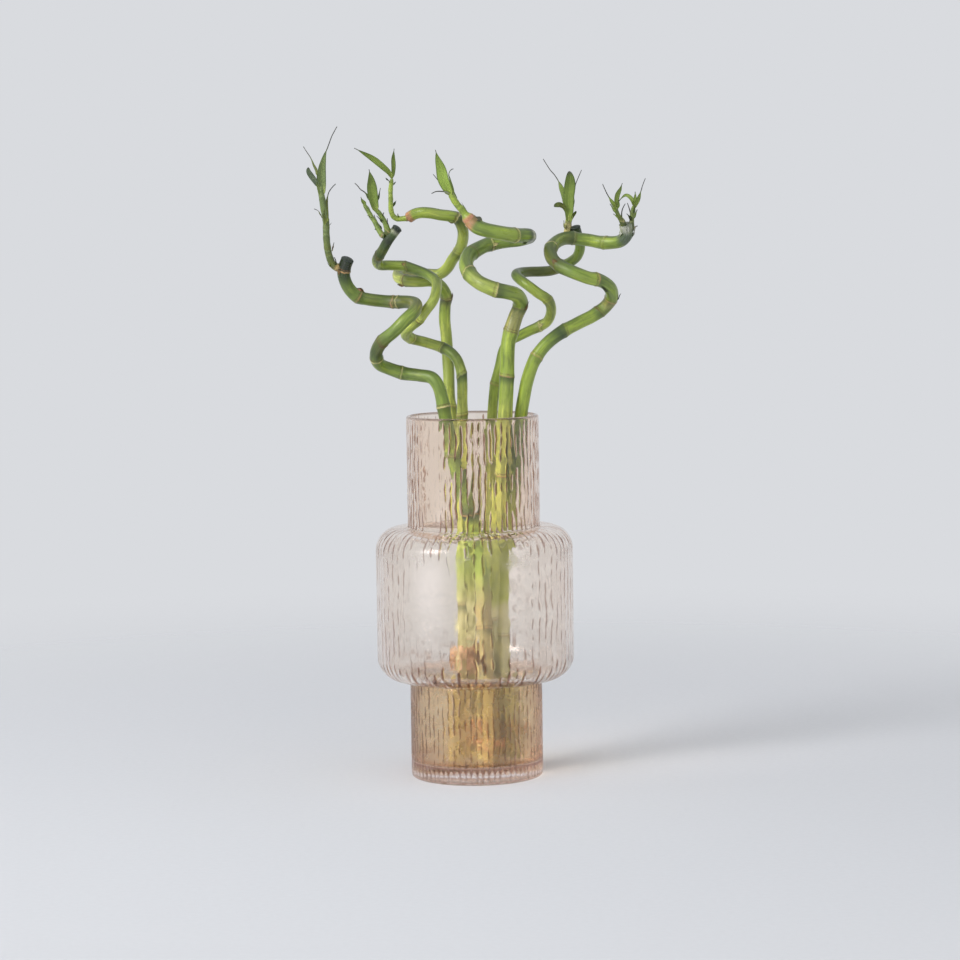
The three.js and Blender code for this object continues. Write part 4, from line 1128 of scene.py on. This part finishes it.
# %% The eight shoots
# A shoot has the tones of its stem, and its foot's tone, swelling and height.
# A leaf has its width, how far along it is widest, the way it faces (degrees round the upright, 0 is the
# front), its tone, how much of its tip is a dry thread, and its middle line. Sizes are in millimetres.
SHOOTS = {
    "front_left": {
        "radii": (2.9, 2.5),
        "tones": ("olive", "moss"),
        "foot": ("tan", 1.1, 3),
        "stem": (
            (-97.5, -35, 394), (-103, -35, 397), (-106, -35, 403.5), (-107.5, -35.5, 412),
            (-108, -35.5, 421), (-108, -35.5, 429.5), (-109, -35.5, 436), (-110, -35.5, 441.5),
            (-110.5, -36, 446.5), (-111.5, -36, 453), (-111.5, -36, 459.5),
        ),
        "leaves": (
            (7.4, 0.2, 15, "moss", 0.34, ((-111, -36, 448), (-111.5, -37, 458.5), (-110.5, -38.5, 469),
                (-109, -40, 475.5), (-107.5, -41, 480.5), (-105.5, -42, 485), (-103.5, -43.5, 490),
                (-102, -45, 493.5), (-98, -46, 500.5))),
            (2.8, 0.1, -40, "olive", 0.35, ((-113, -37, 463), (-114, -35, 468), (-116.5, -32.5, 472.5),
                (-119, -30.5, 478), (-122, -28, 482.5), (-124.5, -26, 486.5))),
            (5.1, 0.72, -25, "slate", 0, ((-112, -37, 455), (-114, -38.5, 458.5), (-116, -40, 461.5),
                (-118, -41, 464.5), (-119.5, -42.5, 467.5), (-120, -44, 470.5))),
            (4.6, 0.12, 35, "olive", 0.3, ((-109, -39, 427.5), (-108.5, -37.5, 433.5), (-108, -36, 440),
                (-107, -34.5, 446.5), (-105.5, -33, 452), (-103, -31.5, 455.5), (-100.5, -30, 458))),
            (2.3, 0.3, -60, "olive", 0.3, ((-110.5, -38, 432.5), (-111.5, -39.5, 435), (-113.5, -41.5, 438),
                (-116.5, -43, 439.5))),
            (1.8, 0.4, 60, "dusk", 0.2, ((-106.5, -38, 426.5), (-105, -39, 427.5), (-103.5, -40, 429))),
            (1.7, 0.4, 40, "brown", 0.2, ((-104, -38, 407.5), (-103, -40, 411), (-102, -42, 414))),
            (2.3, 0.4, -60, "leaf", 0.2, ((-104.5, -36, 396), (-106, -38.5, 397), (-107.5, -41, 399))),
            (1.8, 0.3, 30, "dusk", 0.5, ((-101.5, -37, 396), (-101, -39.5, 400), (-102, -42, 403))),
            (2.6, 0.3, 80, "brown", 0.3, ((-100, -35, 395), (-98, -37.5, 397), (-96.5, -40, 396.5))),
        ),
    },
    "left_tall": {
        "radii": (2.3, 1.9),
        "tones": ("leaf", "leaf"),
        "foot": ("olive", 1.2, 2),
        "stem": (
            (-61.5, -23, 420), (-62, -24, 422), (-63.5, -25, 427.5), (-66.5, -26, 433), (-69, -27, 436.5),
            (-71, -28, 438.5),
        ),
        "leaves": (
            (8, 0.52, 12, "leaf", 0.04, ((-70, -28, 436.5), (-71, -29, 439), (-72.5, -30.5, 446),
                (-73.5, -31.5, 455.5), (-74, -33, 462), (-75, -34, 468.5))),
            (2.5, 0.2, -20, "deep", 0.55, ((-74, -27, 443.5), (-76, -25.5, 448), (-79, -24, 451.5),
                (-82, -22, 453.5), (-84, -20.5, 456), (-86.5, -19, 458.5))),
            (2, 0.3, 40, "deep", 0.2, ((-69.5, -27, 444), (-68.5, -26, 448), (-67.5, -25, 452),
                (-67, -24, 454.5))),
            (2.3, 0.3, 30, "deep", 0.3, ((-64, -26, 430), (-65.5, -27.5, 433), (-64.5, -29, 436))),
            (2.3, 0.3, -30, "dusk", 0.3, ((-64, -25, 427.5), (-67, -27.5, 430.5), (-70, -30, 433.5))),
            (2.3, 0.3, 20, "dusk", 0.3, ((-61.5, -24, 422), (-62, -26, 426.5), (-62, -28, 431.5))),
        ),
    },
    "left_short": {
        "radii": (2.2, 1.7),
        "tones": ("leaf", "leaf"),
        "foot": ("olive", 1.2, 2),
        "stem": (
            (-63.5, -22, 418.5), (-66, -20.5, 419), (-69, -19, 423), (-71.5, -17.5, 428.5),
            (-74.5, -16, 433), (-77.5, -14.5, 438.5), (-80, -13, 442.5),
        ),
        "leaves": (
            (3.5, 0.35, 25, "leaf", 0.1, ((-78.5, -13, 440.5), (-80, -12, 443), (-81.5, -11, 445.5),
                (-82.5, -10, 448))),
            (2.6, 0.3, 40, "leaf", 0.15, ((-76, -14, 436.5), (-77.5, -13, 440), (-80, -12, 443))),
            (2.3, 0.3, -50, "deep", 0.2, ((-73.5, -17, 431), (-75.5, -18, 433), (-77.5, -19, 434))),
            (2.3, 0.3, 40, "dusk", 0.3, ((-70.5, -17, 426.5), (-71.5, -15, 431), (-72.5, -13, 434.5))),
            (2.3, 0.3, -40, "deep", 0.2, ((-68.5, -19, 421.5), (-70.5, -19.5, 423), (-72, -20, 423.5))),
            (2.3, 0.3, 45, "deep", 0.3, ((-67, -19, 422), (-68, -17, 426), (-70, -15, 428.5))),
        ),
    },
    "rear_left": {
        "radii": (2.2, 1.8),
        "tones": ("fresh", "fresh"),
        "foot": ("pink", 1.2, 2),
        "stem": (
            (-45.5, 19, 432.5), (-48, 19, 431.5), (-52, 19.5, 431), (-56, 20, 431), (-59, 20, 433.5),
            (-60.5, 20, 438.5), (-60.5, 20.5, 446), (-60.5, 21, 453.5), (-59.5, 21, 461.5),
        ),
        "leaves": (
            (5.1, 0.45, -20, "leaf", 0.06, ((-59.5, 21, 462), (-60.5, 18.5, 466), (-66, 16, 471.5),
                (-73.5, 14, 477.5), (-81, 11.5, 482), (-87.5, 9, 485.5))),
            (4.5, 0.5, 40, "leaf", 0.05, ((-59.5, 21, 461.5), (-59, 22.5, 466), (-58.5, 24, 472.5),
                (-58.5, 25, 477), (-58, 26.5, 481), (-57.5, 28, 485))),
            (2.3, 0.6, -60, "dusk", 0, ((-61, 20, 459), (-62, 18.5, 461), (-63.5, 16.5, 462),
                (-64, 15, 462.5))),
            (2, 0.4, 50, "deep", 0.2, ((-59, 22, 457), (-57.5, 23.5, 458.5), (-56.5, 25, 459.5))),
            (2.6, 0.5, 50, "deep", 0.1, ((-59.5, 21, 439.5), (-58.5, 22, 442), (-57, 23, 444),
                (-56.5, 24, 445))),
            (2.3, 0.3, 0, "leaf", 0.3, ((-54, 19, 431.5), (-55, 17, 433.5), (-55, 15, 435))),
        ),
    },
    "centre": {
        "radii": (3, 2.6),
        "tones": ("fresh", "fresh"),
        "foot": ("pink", 1.6, 6),
        "stem": (
            (3, -38, 427.5), (1.5, -38.5, 428.5), (-1, -39.5, 431), (-5, -40, 436.5), (-8.5, -40.5, 440.5),
            (-11.5, -41.5, 445), (-14, -42, 449.5),
        ),
        "leaves": (
            (8.9, 0.42, -20, "bright", 0.04, ((-13.5, -42, 448), (-15, -44, 452), (-18.5, -46, 460),
                (-20.5, -48, 468.5), (-23, -50, 476), (-24.5, -52, 482))),
            (2.3, 0.2, 35, "leaf", 0.1, ((-12, -42, 447), (-12.5, -40, 452.5), (-14, -38.5, 459),
                (-15, -36.5, 464), (-13.5, -35, 467), (-11.5, -33, 468))),
            (1.8, 0.3, -35, "leaf", 0.4, ((-17.5, -43, 451.5), (-20, -44.5, 455), (-23, -45.5, 459.5),
                (-26.5, -47, 464))),
            (1.4, 0.2, 0, "grey", 0.6, ((-14, -43, 448.5), (-17, -45, 450.5), (-20, -46.5, 451),
                (-24.5, -48, 451), (-28, -50, 449.5))),
            (2.5, 0.3, 40, "leaf", 0.1, ((-9.5, -40, 443), (-10.5, -38.5, 447.5), (-11.5, -37, 452))),
            (2.5, 0.3, 50, "leaf", 0.1, ((-2.5, -39, 435), (-4, -37.5, 439), (-5.5, -36, 442.5))),
        ),
    },
    "rear_right": {
        "radii": (3.1, 2.4),
        "tones": ("straw", "fresh"),
        "foot": ("cream", 1.1, 3),
        "stem": (
            (75.5, 15, 418), (76, 14, 421.5), (76, 13.5, 425.5), (76.5, 13, 429), (76.5, 12, 433),
        ),
        "leaves": (
            (8.8, 0.68, 5, "leaf", 0, ((76.5, 12, 425.5), (76.5, 11, 434), (76.5, 9.5, 447.5),
                (77.5, 8.5, 455), (77.5, 7, 460.5), (77, 6, 465.5))),
            (4.3, 0.42, -30, "leaf", 0.42, ((75.5, 13, 430), (74.5, 14.5, 439.5), (72.5, 16.5, 449.5),
                (69, 18, 458), (66, 20, 463), (63, 21.5, 466.5), (60.5, 23.5, 470.5), (57.5, 25, 475.5))),
            (2.8, 0.35, 35, "leaf", 0.55, ((77, 13, 428), (79.5, 15, 441.5), (81, 17.5, 449),
                (82, 19.5, 455), (84, 22, 460), (87, 24, 466.5))),
            (4, 0.75, -20, "olive", 0, ((74, 10, 434), (73, 9, 438), (71, 8.5, 439.5), (69, 7.5, 440),
                (67, 7, 439.5), (65, 6, 438.5))),
            (2.6, 0.7, 30, "olive", 0, ((78, 12, 427), (79, 10.5, 430.5), (80.5, 9.5, 433), (82, 8, 435))),
            (2.3, 0.3, -50, "khaki", 0.1, ((74.5, 12, 420.5), (73, 10, 424), (72.5, 8, 428))),
            (2, 0.3, 30, "dusk", 0.3, ((77, 11, 419.5), (78, 9, 421.5), (79, 7, 421.5))),
        ),
    },
    "front_right_inner": {
        "radii": (1.8, 1.5),
        "tones": ("olive", "leaf"),
        "foot": ("olive", 1.3, 3),
        "stem": (
            (117, -17, 424), (116, -18, 426.5), (114, -19.5, 429.5), (111.5, -21, 435), (110.5, -22, 439.5),
        ),
        "leaves": (
            (4.3, 0.45, 25, "leaf", 0.05, ((110.5, -22, 437), (111, -23, 441), (112, -24, 446.5),
                (114.5, -25, 451.5), (116, -26, 455.5))),
            (3.2, 0.2, -25, "leaf", 0.5, ((110.5, -22, 436.5), (109.5, -23.5, 440), (107, -25, 443.5),
                (105, -26, 446.5), (103, -27.5, 450.5), (101, -29, 455))),
            (2.6, 0.3, -40, "leaf", 0.1, ((112, -21, 432.5), (110, -23, 435.5), (106.5, -25, 440))),
            (2.1, 0.3, -40, "leaf", 0.1, ((114.5, -20, 428.5), (112, -21.5, 430.5), (109, -23, 432.5))),
            (1.4, 0.2, 20, "dusk", 0.7, ((115.5, -20, 428.5), (115.5, -19, 432.5), (116.5, -18, 436.5),
                (118.5, -17, 440))),
            (2.3, 0.4, 20, "leaf", 0.1, ((112, -21, 435.5), (113, -22.5, 439), (113.5, -24, 443))),
        ),
    },
    "front_right_outer": {
        "radii": (2.1, 1.6),
        "tones": ("olive", "leaf"),
        "foot": ("olive", 1.3, 3),
        "stem": (
            (122.5, -14, 420), (123, -13.5, 423), (123.5, -13, 427.5), (124, -12.5, 433), (125, -12, 438),
        ),
        "leaves": (
            (3.8, 0.3, 25, "leaf", 0.4, ((125, -12, 435), (126, -13, 439), (128.5, -13.5, 444),
                (130.5, -14.5, 449), (132, -15, 454), (134, -16, 459))),
            (2.8, 0.4, -10, "leaf", 0.05, ((125, -12, 437), (126, -11.5, 441.5), (126.5, -10.5, 445.5),
                (126.5, -10, 449))),
            (3.1, 0.35, 0, "leaf", 0.1, ((125.5, -12, 436.5), (124.5, -10.5, 442), (122.5, -9, 445),
                (119.5, -7, 446.5), (116.5, -5.5, 444.5), (114, -4, 441.5))),
            (1.4, 0.2, -20, "dusk", 0.7, ((123.5, -12, 429.5), (122.5, -11, 434), (121.5, -10, 437.5),
                (120.5, -9, 440.5))),
            (2.3, 0.4, -30, "dusk", 0.2, ((123.5, -14, 425.5), (122.5, -15.5, 429), (120.5, -16.5, 431.5),
                (119.5, -18, 432.5))),
            (2.5, 0.3, 35, "leaf", 0.1, ((124, -12, 427.5), (126, -10.5, 431.5), (128, -9, 435.5))),
            (2.3, 0.3, 60, "tan", 0.3, ((124, -14, 419.5), (125.5, -12.5, 422), (128, -11, 423))),
            (2, 0.3, 20, "deep", 0.2, ((124.5, -13, 431.5), (125.5, -14.5, 435), (126, -16, 439))),
        ),
    },
}
print(len(SHOOTS), "shoots,", sum(len(shoot["leaves"]) for shoot in SHOOTS.values()), "blades")

# %% Stem chains
SHOOT_SPACING = 0.6  # mm between rings of points
LEAF_BASE_SPACING = 7.5
LEAF_BASE_TILT = 1.1  # how steeply a leaf base's edge runs round the stem


def stem_chain(shoot, seed):
    """The chain of a shoot's stem: a swollen foot, then a leaf base every few millimetres."""
    draw = np.random.default_rng(seed)
    at, points = walk(shoot["stem"], SHOOT_SPACING)
    length = at[-1]
    joints = np.arange(5.0, length, LEAF_BASE_SPACING)
    joints = joints + draw.uniform(-1.5, 1.5, len(joints))
    gap, nearest = joint_distances(at, joints)
    leans = np.zeros((len(joints), 3))
    leans[:, 0] = LEAF_BASE_TILT * np.where(np.arange(len(joints)) % 2, 1, -1)
    foot, swell, reach = shoot["foot"]
    shape = np.interp(at, [0, reach, reach + 3, length - 2, length], [swell, swell, 0.95, 0.88, 0.6])
    low, high = shoot["tones"]
    return {
        "points": points,
        "along": at * MM,
        "girth": np.interp(at, [0, length], shoot["radii"]) * shape * MM,
        "joint": gap * MM,
        "lean": leans[nearest],
        "notch": np.tile([1.0, 0.0, 0.0], (len(at), 1)),
        "hue": tint_along(at, ((0, foot), (reach, foot), (reach + 2, low), (length, high))),
        "ring_hue": tint_along(at, ((0, "tan"), (4, "khaki"), (10, high), (length, high))),
        "band": np.full(len(at), 0.5),
    }


# %% Geometry tree that sweeps a folded blade
def blade_tree():
    sizes = {"Sides": 20, "Thickness": 0.1, "Wave": 0.25 * MM, "Wave Length": 0.006}
    tree, given = geometry_tree("folded_blade", sizes)
    line = add_node(tree, "GeometryNodeMeshToCurve", {"Mesh": given["Geometry"]}).outputs[0]
    facing = named(tree, "face", "FLOAT_VECTOR")
    sockets = {"Curve": line, "Normal": facing}
    line = add_node(tree, "GeometryNodeSetCurveNormal", sockets, mode="FREE").outputs[0]
    round_section = {"Resolution": given["Sides"], "Radius": 1.0}
    circle = add_node(tree, "GeometryNodeCurvePrimitiveCircle", round_section)
    place = tree.nodes.new("GeometryNodeInputPosition").outputs[0]
    split = split_xyz(tree, place)
    across = split["Y"]
    lens = join_xyz(tree, X=times(tree, split["X"], given["Thickness"]), Y=across)
    profile = keep(tree, circle.outputs[0], "across", across)
    profile = add_node(tree, "GeometryNodeSetPosition", {"Geometry": profile, "Position": lens}).outputs[0]
    half = named(tree, "half")
    sheet = add_node(tree, "GeometryNodeCurveToMesh", {
        "Curve": line, "Profile Curve": profile, "Scale": half, "Fill Caps": True,
    }).outputs[0]
    spread = calc(tree, "ABSOLUTE", named(tree, "across"))
    lift = times(tree, spread, half, named(tree, "fold"))
    scale = calc(tree, "DIVIDE", 1.0, given["Wave Length"])
    sockets = {"Vector": place, "Scale": scale, "Detail": 1.0}
    waver = add_node(tree, "ShaderNodeTexNoise", sockets).outputs["Fac"]
    flutter = times(tree, calc(tree, "SUBTRACT", waver, 0.5), given["Wave"])
    reach = calc(tree, "MULTIPLY_ADD", flutter, spread, lift)
    moved = add_node(tree, "GeometryNodeSetPosition", {
        "Geometry": sheet, "Offset": scaled(tree, facing, reach),
    })
    close_tree(tree, moved.outputs[0], given["Finish"])
    return tree


folded_blade = blade_tree()


# %% Blade chains
def blade_chain(leaf, seed):
    """A leaf's chain: narrow at its foot, widest at its peak and drawn out to a point or a dry thread."""
    width, peak, face, tone, dry, line = leaf
    draw = np.random.default_rng(seed)
    at, points = walk(line, SHOOT_SPACING)
    share = at / at[-1]
    swell = 0.5 + 0.5 * np.sin(np.clip(share / peak, 0, 1) * math.pi / 2)
    past = np.clip((share - peak) / (1 - dry - peak), 0, 1)
    blunt = 0.5 if dry == 0 and peak > 0.6 else 0.95
    rounded = np.sqrt(np.clip(at / 3.5, 0.03, 1))
    half = np.maximum(width / 2 * swell * rounded * np.cos(past * math.pi / 2) ** blunt, 0.6 - 0.3 * share)
    tangent = np.gradient(points, axis=0)
    tangent /= np.linalg.norm(tangent, axis=1)[:, None]
    turn = np.radians(face + draw.uniform(-15, 15) * share)
    front = np.stack([np.sin(turn), -np.cos(turn), np.zeros_like(turn)], axis=1)
    front -= tangent * (front * tangent).sum(axis=1)[:, None]
    front /= np.linalg.norm(front, axis=1)[:, None]
    return {
        "points": points,
        "share": share,
        "half": half * MM,
        "face": front,
        "fold": 0.8 - 0.5 * np.clip(share * 2, 0, 1),
        "withered": np.clip((share - 0.9 + dry) / (0.15 if dry else 0.1), 0, 1),
        "hue": np.tile(TONES[tone], (len(at), 1)),
    }


# %% [markdown]
# ## Dry bracts
# At some joints of a cane a dried leaf base or a sleeping bud still hugs the skin, and the ends carry torn
# fibres. The blade tree makes these too. Each one starts on the skin at its joint, runs along the cane
# towards the tip and leans away a little. They belong to the cane.

# %% Bracts
# Each bract: its cane, how far along, the side it sits on, its width and length in millimetres, its tone.
BRACTS = (
    ("front_left", 471, (0.1, -0.3, 1.0), 4.5, 8, "brown"),
    ("front_left", 475, (0.0, -0.6, 0.8), 3.0, 5, "pink"),
    ("front_left", 498, (-0.6, -0.8, 0.1), 2.6, 6, "brown"),
    ("left", 462, (0.2, -1.0, 0.3), 3.0, 4, "tan"),
    ("rear_left", 358, (1.0, -0.4, 0.0), 3.0, 6, "brown"),
    ("rear_left", 400, (0.1, -0.7, -0.8), 3.0, 7, "brown"),
    ("rear_left", 518, (-0.6, -0.5, -0.6), 2.4, 5, "brown"),
    ("centre", 352, (0.8, -0.8, -0.1), 2.2, 10, "brown"),
    ("centre", 465, (0.1, -1.0, -0.2), 3.2, 5, "cream"),
    ("centre", 464, (0.1, -1.0, -0.5), 2.0, 3, "brown"),
    ("centre", 514, (0.0, -0.5, -1.0), 2.0, 6, "dusk"),
    ("centre", 556, (0.1, -0.3, 1.0), 5.0, 7, "withered"),
    ("rear_right", 351, (0.1, -1.0, 0.2), 3.0, 5, "cream"),
    ("front_right", 408, (-0.3, -0.6, -0.8), 2.2, 11, "dusk"),
    ("front_right", 393, (1.0, -0.5, 0.1), 2.0, 8, "dusk"),
    ("front_right", 455, (-0.2, -1.0, 0.3), 4.0, 6, "brown"),
    ("front_right", 551, (-1.0, -0.5, 0.1), 3.6, 10, "ash"),
    ("front_right", 553, (1.0, -0.4, 0.1), 3.4, 10, "ash"),
    ("front_right", 556, (0.1, -1.0, 0.1), 3.0, 7, "ash"),
)
print(len(BRACTS), "bracts")
ON_SKIN = (0.93, 1.03, 1.06, 1.16)  # how far out a bract's line lies at its four points, in cane radii


def bract_chain(cane, distance, side, width, length, tone, seed):
    """A short blade's chain that starts on the skin and leans away towards the cane's tip."""
    at, points = walk(cane["path"], CANE_SPACING)
    radius = np.interp(distance, [0, at[-1]], cane["radii"])
    outward = np.array(side, dtype=float)
    tangent = np.gradient(points, axis=0)[np.searchsorted(at, distance)]
    tangent /= np.linalg.norm(tangent)
    outward -= tangent * (outward @ tangent)
    outward /= np.linalg.norm(outward)
    base = np.array([np.interp(distance, at, points[:, axis]) for axis in range(3)])
    steps = zip(ON_SKIN, np.linspace(-0.1, 1.0, len(ON_SKIN)))
    line = tuple(tuple(base + outward * radius * out + tangent * length * along) for out, along in steps)
    face = math.degrees(math.atan2(outward[0], -outward[1]))
    return blade_chain((width, 0.4, face, tone, 0, line), seed)


# %% [markdown]
# ## Leaf finish
# A leaf of this plant has a faint midrib and fine parallel veins, and its tip often dries to a grey thread.
# The blade tree stores how far across and along the leaf each point lies, so the pattern follows the leaf
# wherever it bends. An unwrapped picture would need its own layout for every blade.

# %% Leaf finish
def leaf_finish():
    material, tree, output = new_finish("leaf_blade")
    across = attribute(tree, "across")
    share = attribute(tree, "share")
    place = object_place(tree)
    mottle = noise(tree, place, 110.0, 2.0, 0.5)
    wavy = calc(tree, "MULTIPLY_ADD", mottle, 0.08, across)
    veins = calc(tree, "SINE", times(tree, wavy, 46.0))
    colour = attribute(tree, "hue", "Color")
    spread = calc(tree, "ABSOLUTE", across)
    layers = (
        (mottle, 0.4, 0.7, 0.0, 0.25, "deep"),
        (veins, -1.0, 1.0, 0.0, 0.08, "pale"),
        (spread, 0.03, 0.12, 0.2, 0.0, "pale"),  # the midrib
        (spread, 0.65, 1.0, 0.0, 0.65, "deep"),  # the edges
        (share, 0.5, 1.0, 0.0, 0.6, "deep"),  # the tip
        (share, 0.0, 0.25, 0.5, 0.0, "pale"),  # the foot
    )
    for pattern, low, high, at_low, at_high, tone in layers:
        strength = ramp(tree, pattern, low, high, at_low, at_high)
        colour = mix_colour(tree, strength, colour, TONES[tone])
    colour = mix_colour(tree, attribute(tree, "withered"), colour, TONES["withered"])
    bump = relief(tree, veins, 0.1, 0.03 * MM)
    finish_with(tree, output, {
        "Base Color": colour,
        "Roughness": ramp(tree, mottle, 0.3, 0.7, 0.42, 0.6),
        "Normal": bump,
        "Specular IOR Level": 0.35,
    })
    return material


leaf_blade = leaf_finish()
stem_skin = cane_finish("stem_skin", 0.35)

# %% Grow the bracts
for side, cane in CANES.items():
    own = [(order, bract[1:]) for order, bract in enumerate(BRACTS) if bract[0] == side]
    chains = [bract_chain(cane, *bract, 90 + order) for order, bract in own]
    bracts = grow("cane_bracts_" + side, chain_mesh("bracts", chains), folded_blade, {"Finish": leaf_blade})
    settle(bracts, "cane", "cane_" + side)

# %% Grow the shoots
for number, (side, shoot) in enumerate(SHOOTS.items()):
    stem = grow("shoot_stem_" + side, chain_mesh("stem", [stem_chain(shoot, 31 + number)]), jointed_stem, {
        "Sides": 24, "Ring Height": 0.12 * MM, "Ring Width": 0.6 * MM, "Swell": 0.1 * MM, "Notch": 0.0,
        "Finish": stem_skin,
    })
    settle(stem, "shoot", "shoot_" + side)
    chains = [blade_chain(leaf, 50 * number + order) for order, leaf in enumerate(shoot["leaves"])]
    blades = chain_mesh("blades", chains)
    blades = grow("shoot_blades_" + side, blades, folded_blade, {"Finish": leaf_blade})
    settle(blades, "shoot", "shoot_" + side)

# %% [markdown]
# ## Wax on the cut ends
# Growers seal a cut cane with a drop of dark wax. It is a low dome, a little lumpy and slightly shiny,
# turned like the vase and then set square to the cane's end.

# %% Wax
def patchy_finish(name, scale, dark, light, strength, distance, roughness):
    """Two tones in lumps, which are also raised and differ in roughness."""
    material, tree, output = new_finish(name)
    lumps = noise(tree, object_place(tree), scale)
    finish_with(tree, output, {
        "Base Color": mix_colour(tree, ramp(tree, lumps, 0.3, 0.7, 0.0, 1.0), dark, light),
        "Roughness": ramp(tree, lumps, 0.3, 0.7, *roughness),
        "Normal": relief(tree, lumps, strength, distance * MM),
    })
    return material


WAX_TONES = (linear(28, 37, 32), linear(56, 65, 54))
sealing_wax = patchy_finish("sealing_wax", 500.0, *WAX_TONES, 0.5, 0.4, (0.35, 0.6))
WAX_HEIGHT = 1.8
WAX_SIDES = 48
for side in ("front_left", "left", "rear_right"):
    cane = CANES[side]
    radius = cane["radii"][1] + 0.2
    rim = [(0, -0.2), (radius - 0.3, -0.2), (radius, 0.1)]
    dome = [(r * radius, z * WAX_HEIGHT) for r, z in arc(0, 0, 1, 8, 82, 8)]
    mesh = turned("wax", [*rim, *dome, (0, WAX_HEIGHT)], even_angles(WAX_SIDES))
    _, ends = walk(cane["path"], CANE_SPACING)
    direction = Vector(ends[-1] - ends[-2]).normalized()
    tip = Vector(ends[-1]) * MM + direction * 0.3 * MM
    mesh.transform(Matrix.Translation(tip) @ direction.to_track_quat("Z", "Y").to_matrix().to_4x4())
    mesh.shade_smooth()
    cap = place_object("wax_cap_" + side, mesh)
    cap.data.materials.append(sealing_wax)
    settle(cap, "wax", "wax_" + side)
    print(cap.name, len(mesh.vertices), "vertices")

# %% [markdown]
# ## Roots
# A cane that lives in water puts out a tuft of thin orange-brown roots near its foot. Each root leaves the
# skin, bends down and wanders. A seeded draw gives every root its own length and path. Two canes also
# carry a tuft just above the water, where the photo shows orange patches low in the belly.

# %% Root tufts
# Each tuft: how far up the cane its roots start, how long the longest is, in millimetres, and their number.
TUFTS = {
    "front_left": ((20, 12, 16),),
    "left": ((89, 24, 30),),
    "rear_left": ((24, 12, 16), (89, 26, 44)),
    "centre": ((36, 18, 26),),
    "rear_right": ((24, 14, 14),),
    "front_right": ((32, 16, 24),),
}


def root_chain(cane, top, reach, draw):
    """One root's chain: out of the skin, then down beside the cane with three small swerves."""
    at, points = walk(cane["path"], CANE_SPACING)
    start = points[np.searchsorted(at, top - draw.uniform(0, 9))]
    angle = draw.uniform(0, 2 * math.pi)
    outward = np.array([math.cos(angle), math.sin(angle), 0])
    radius = cane["radii"][0]
    spread = radius + draw.uniform(0.6, 4.0)
    low = max(start[2] - reach * draw.uniform(0.35, 1.0), FLOOR_TOP + 1.2)
    line = [start + outward * (radius - 1.0), start + outward * (radius + 0.8) + (0, 0, -1.5)]
    for fall in (0.4, 0.7, 1.0):
        wander = np.array([*draw.uniform(-1.6, 1.6, 2), 0])
        level = start[2] + (low - start[2]) * fall
        line.append(np.array([start[0], start[1], 0]) + outward * spread + wander + (0, 0, level))
    distance, path = walk(line, 1.2)
    share = distance / distance[-1]
    count = len(distance)
    return {
        "points": path,
        "along": distance * MM,
        "girth": (0.75 - 0.45 * share) * draw.uniform(0.7, 1.2) * MM,
        "joint": np.full(count, 1.0),
        "lean": np.zeros((count, 3)),
    }


ROOT_TONES = (linear(186, 138, 98), linear(230, 190, 150))
root_skin = patchy_finish("root_skin", 180.0, *ROOT_TONES, 0.4, 0.3, (0.6, 0.6))
for number, (side, tufts) in enumerate(TUFTS.items()):
    draw = np.random.default_rng(71 + number)
    cane = CANES[side]
    chains = [root_chain(cane, top, reach, draw) for top, reach, count in tufts for _ in range(count)]
    tuft = grow("roots_" + side, chain_mesh("roots", chains), jointed_stem, {
        "Sides": 8, "Ring Height": 0.0, "Swell": 0.0, "Finish": root_skin,
    })
    settle(tuft, "root", "cane_" + side)
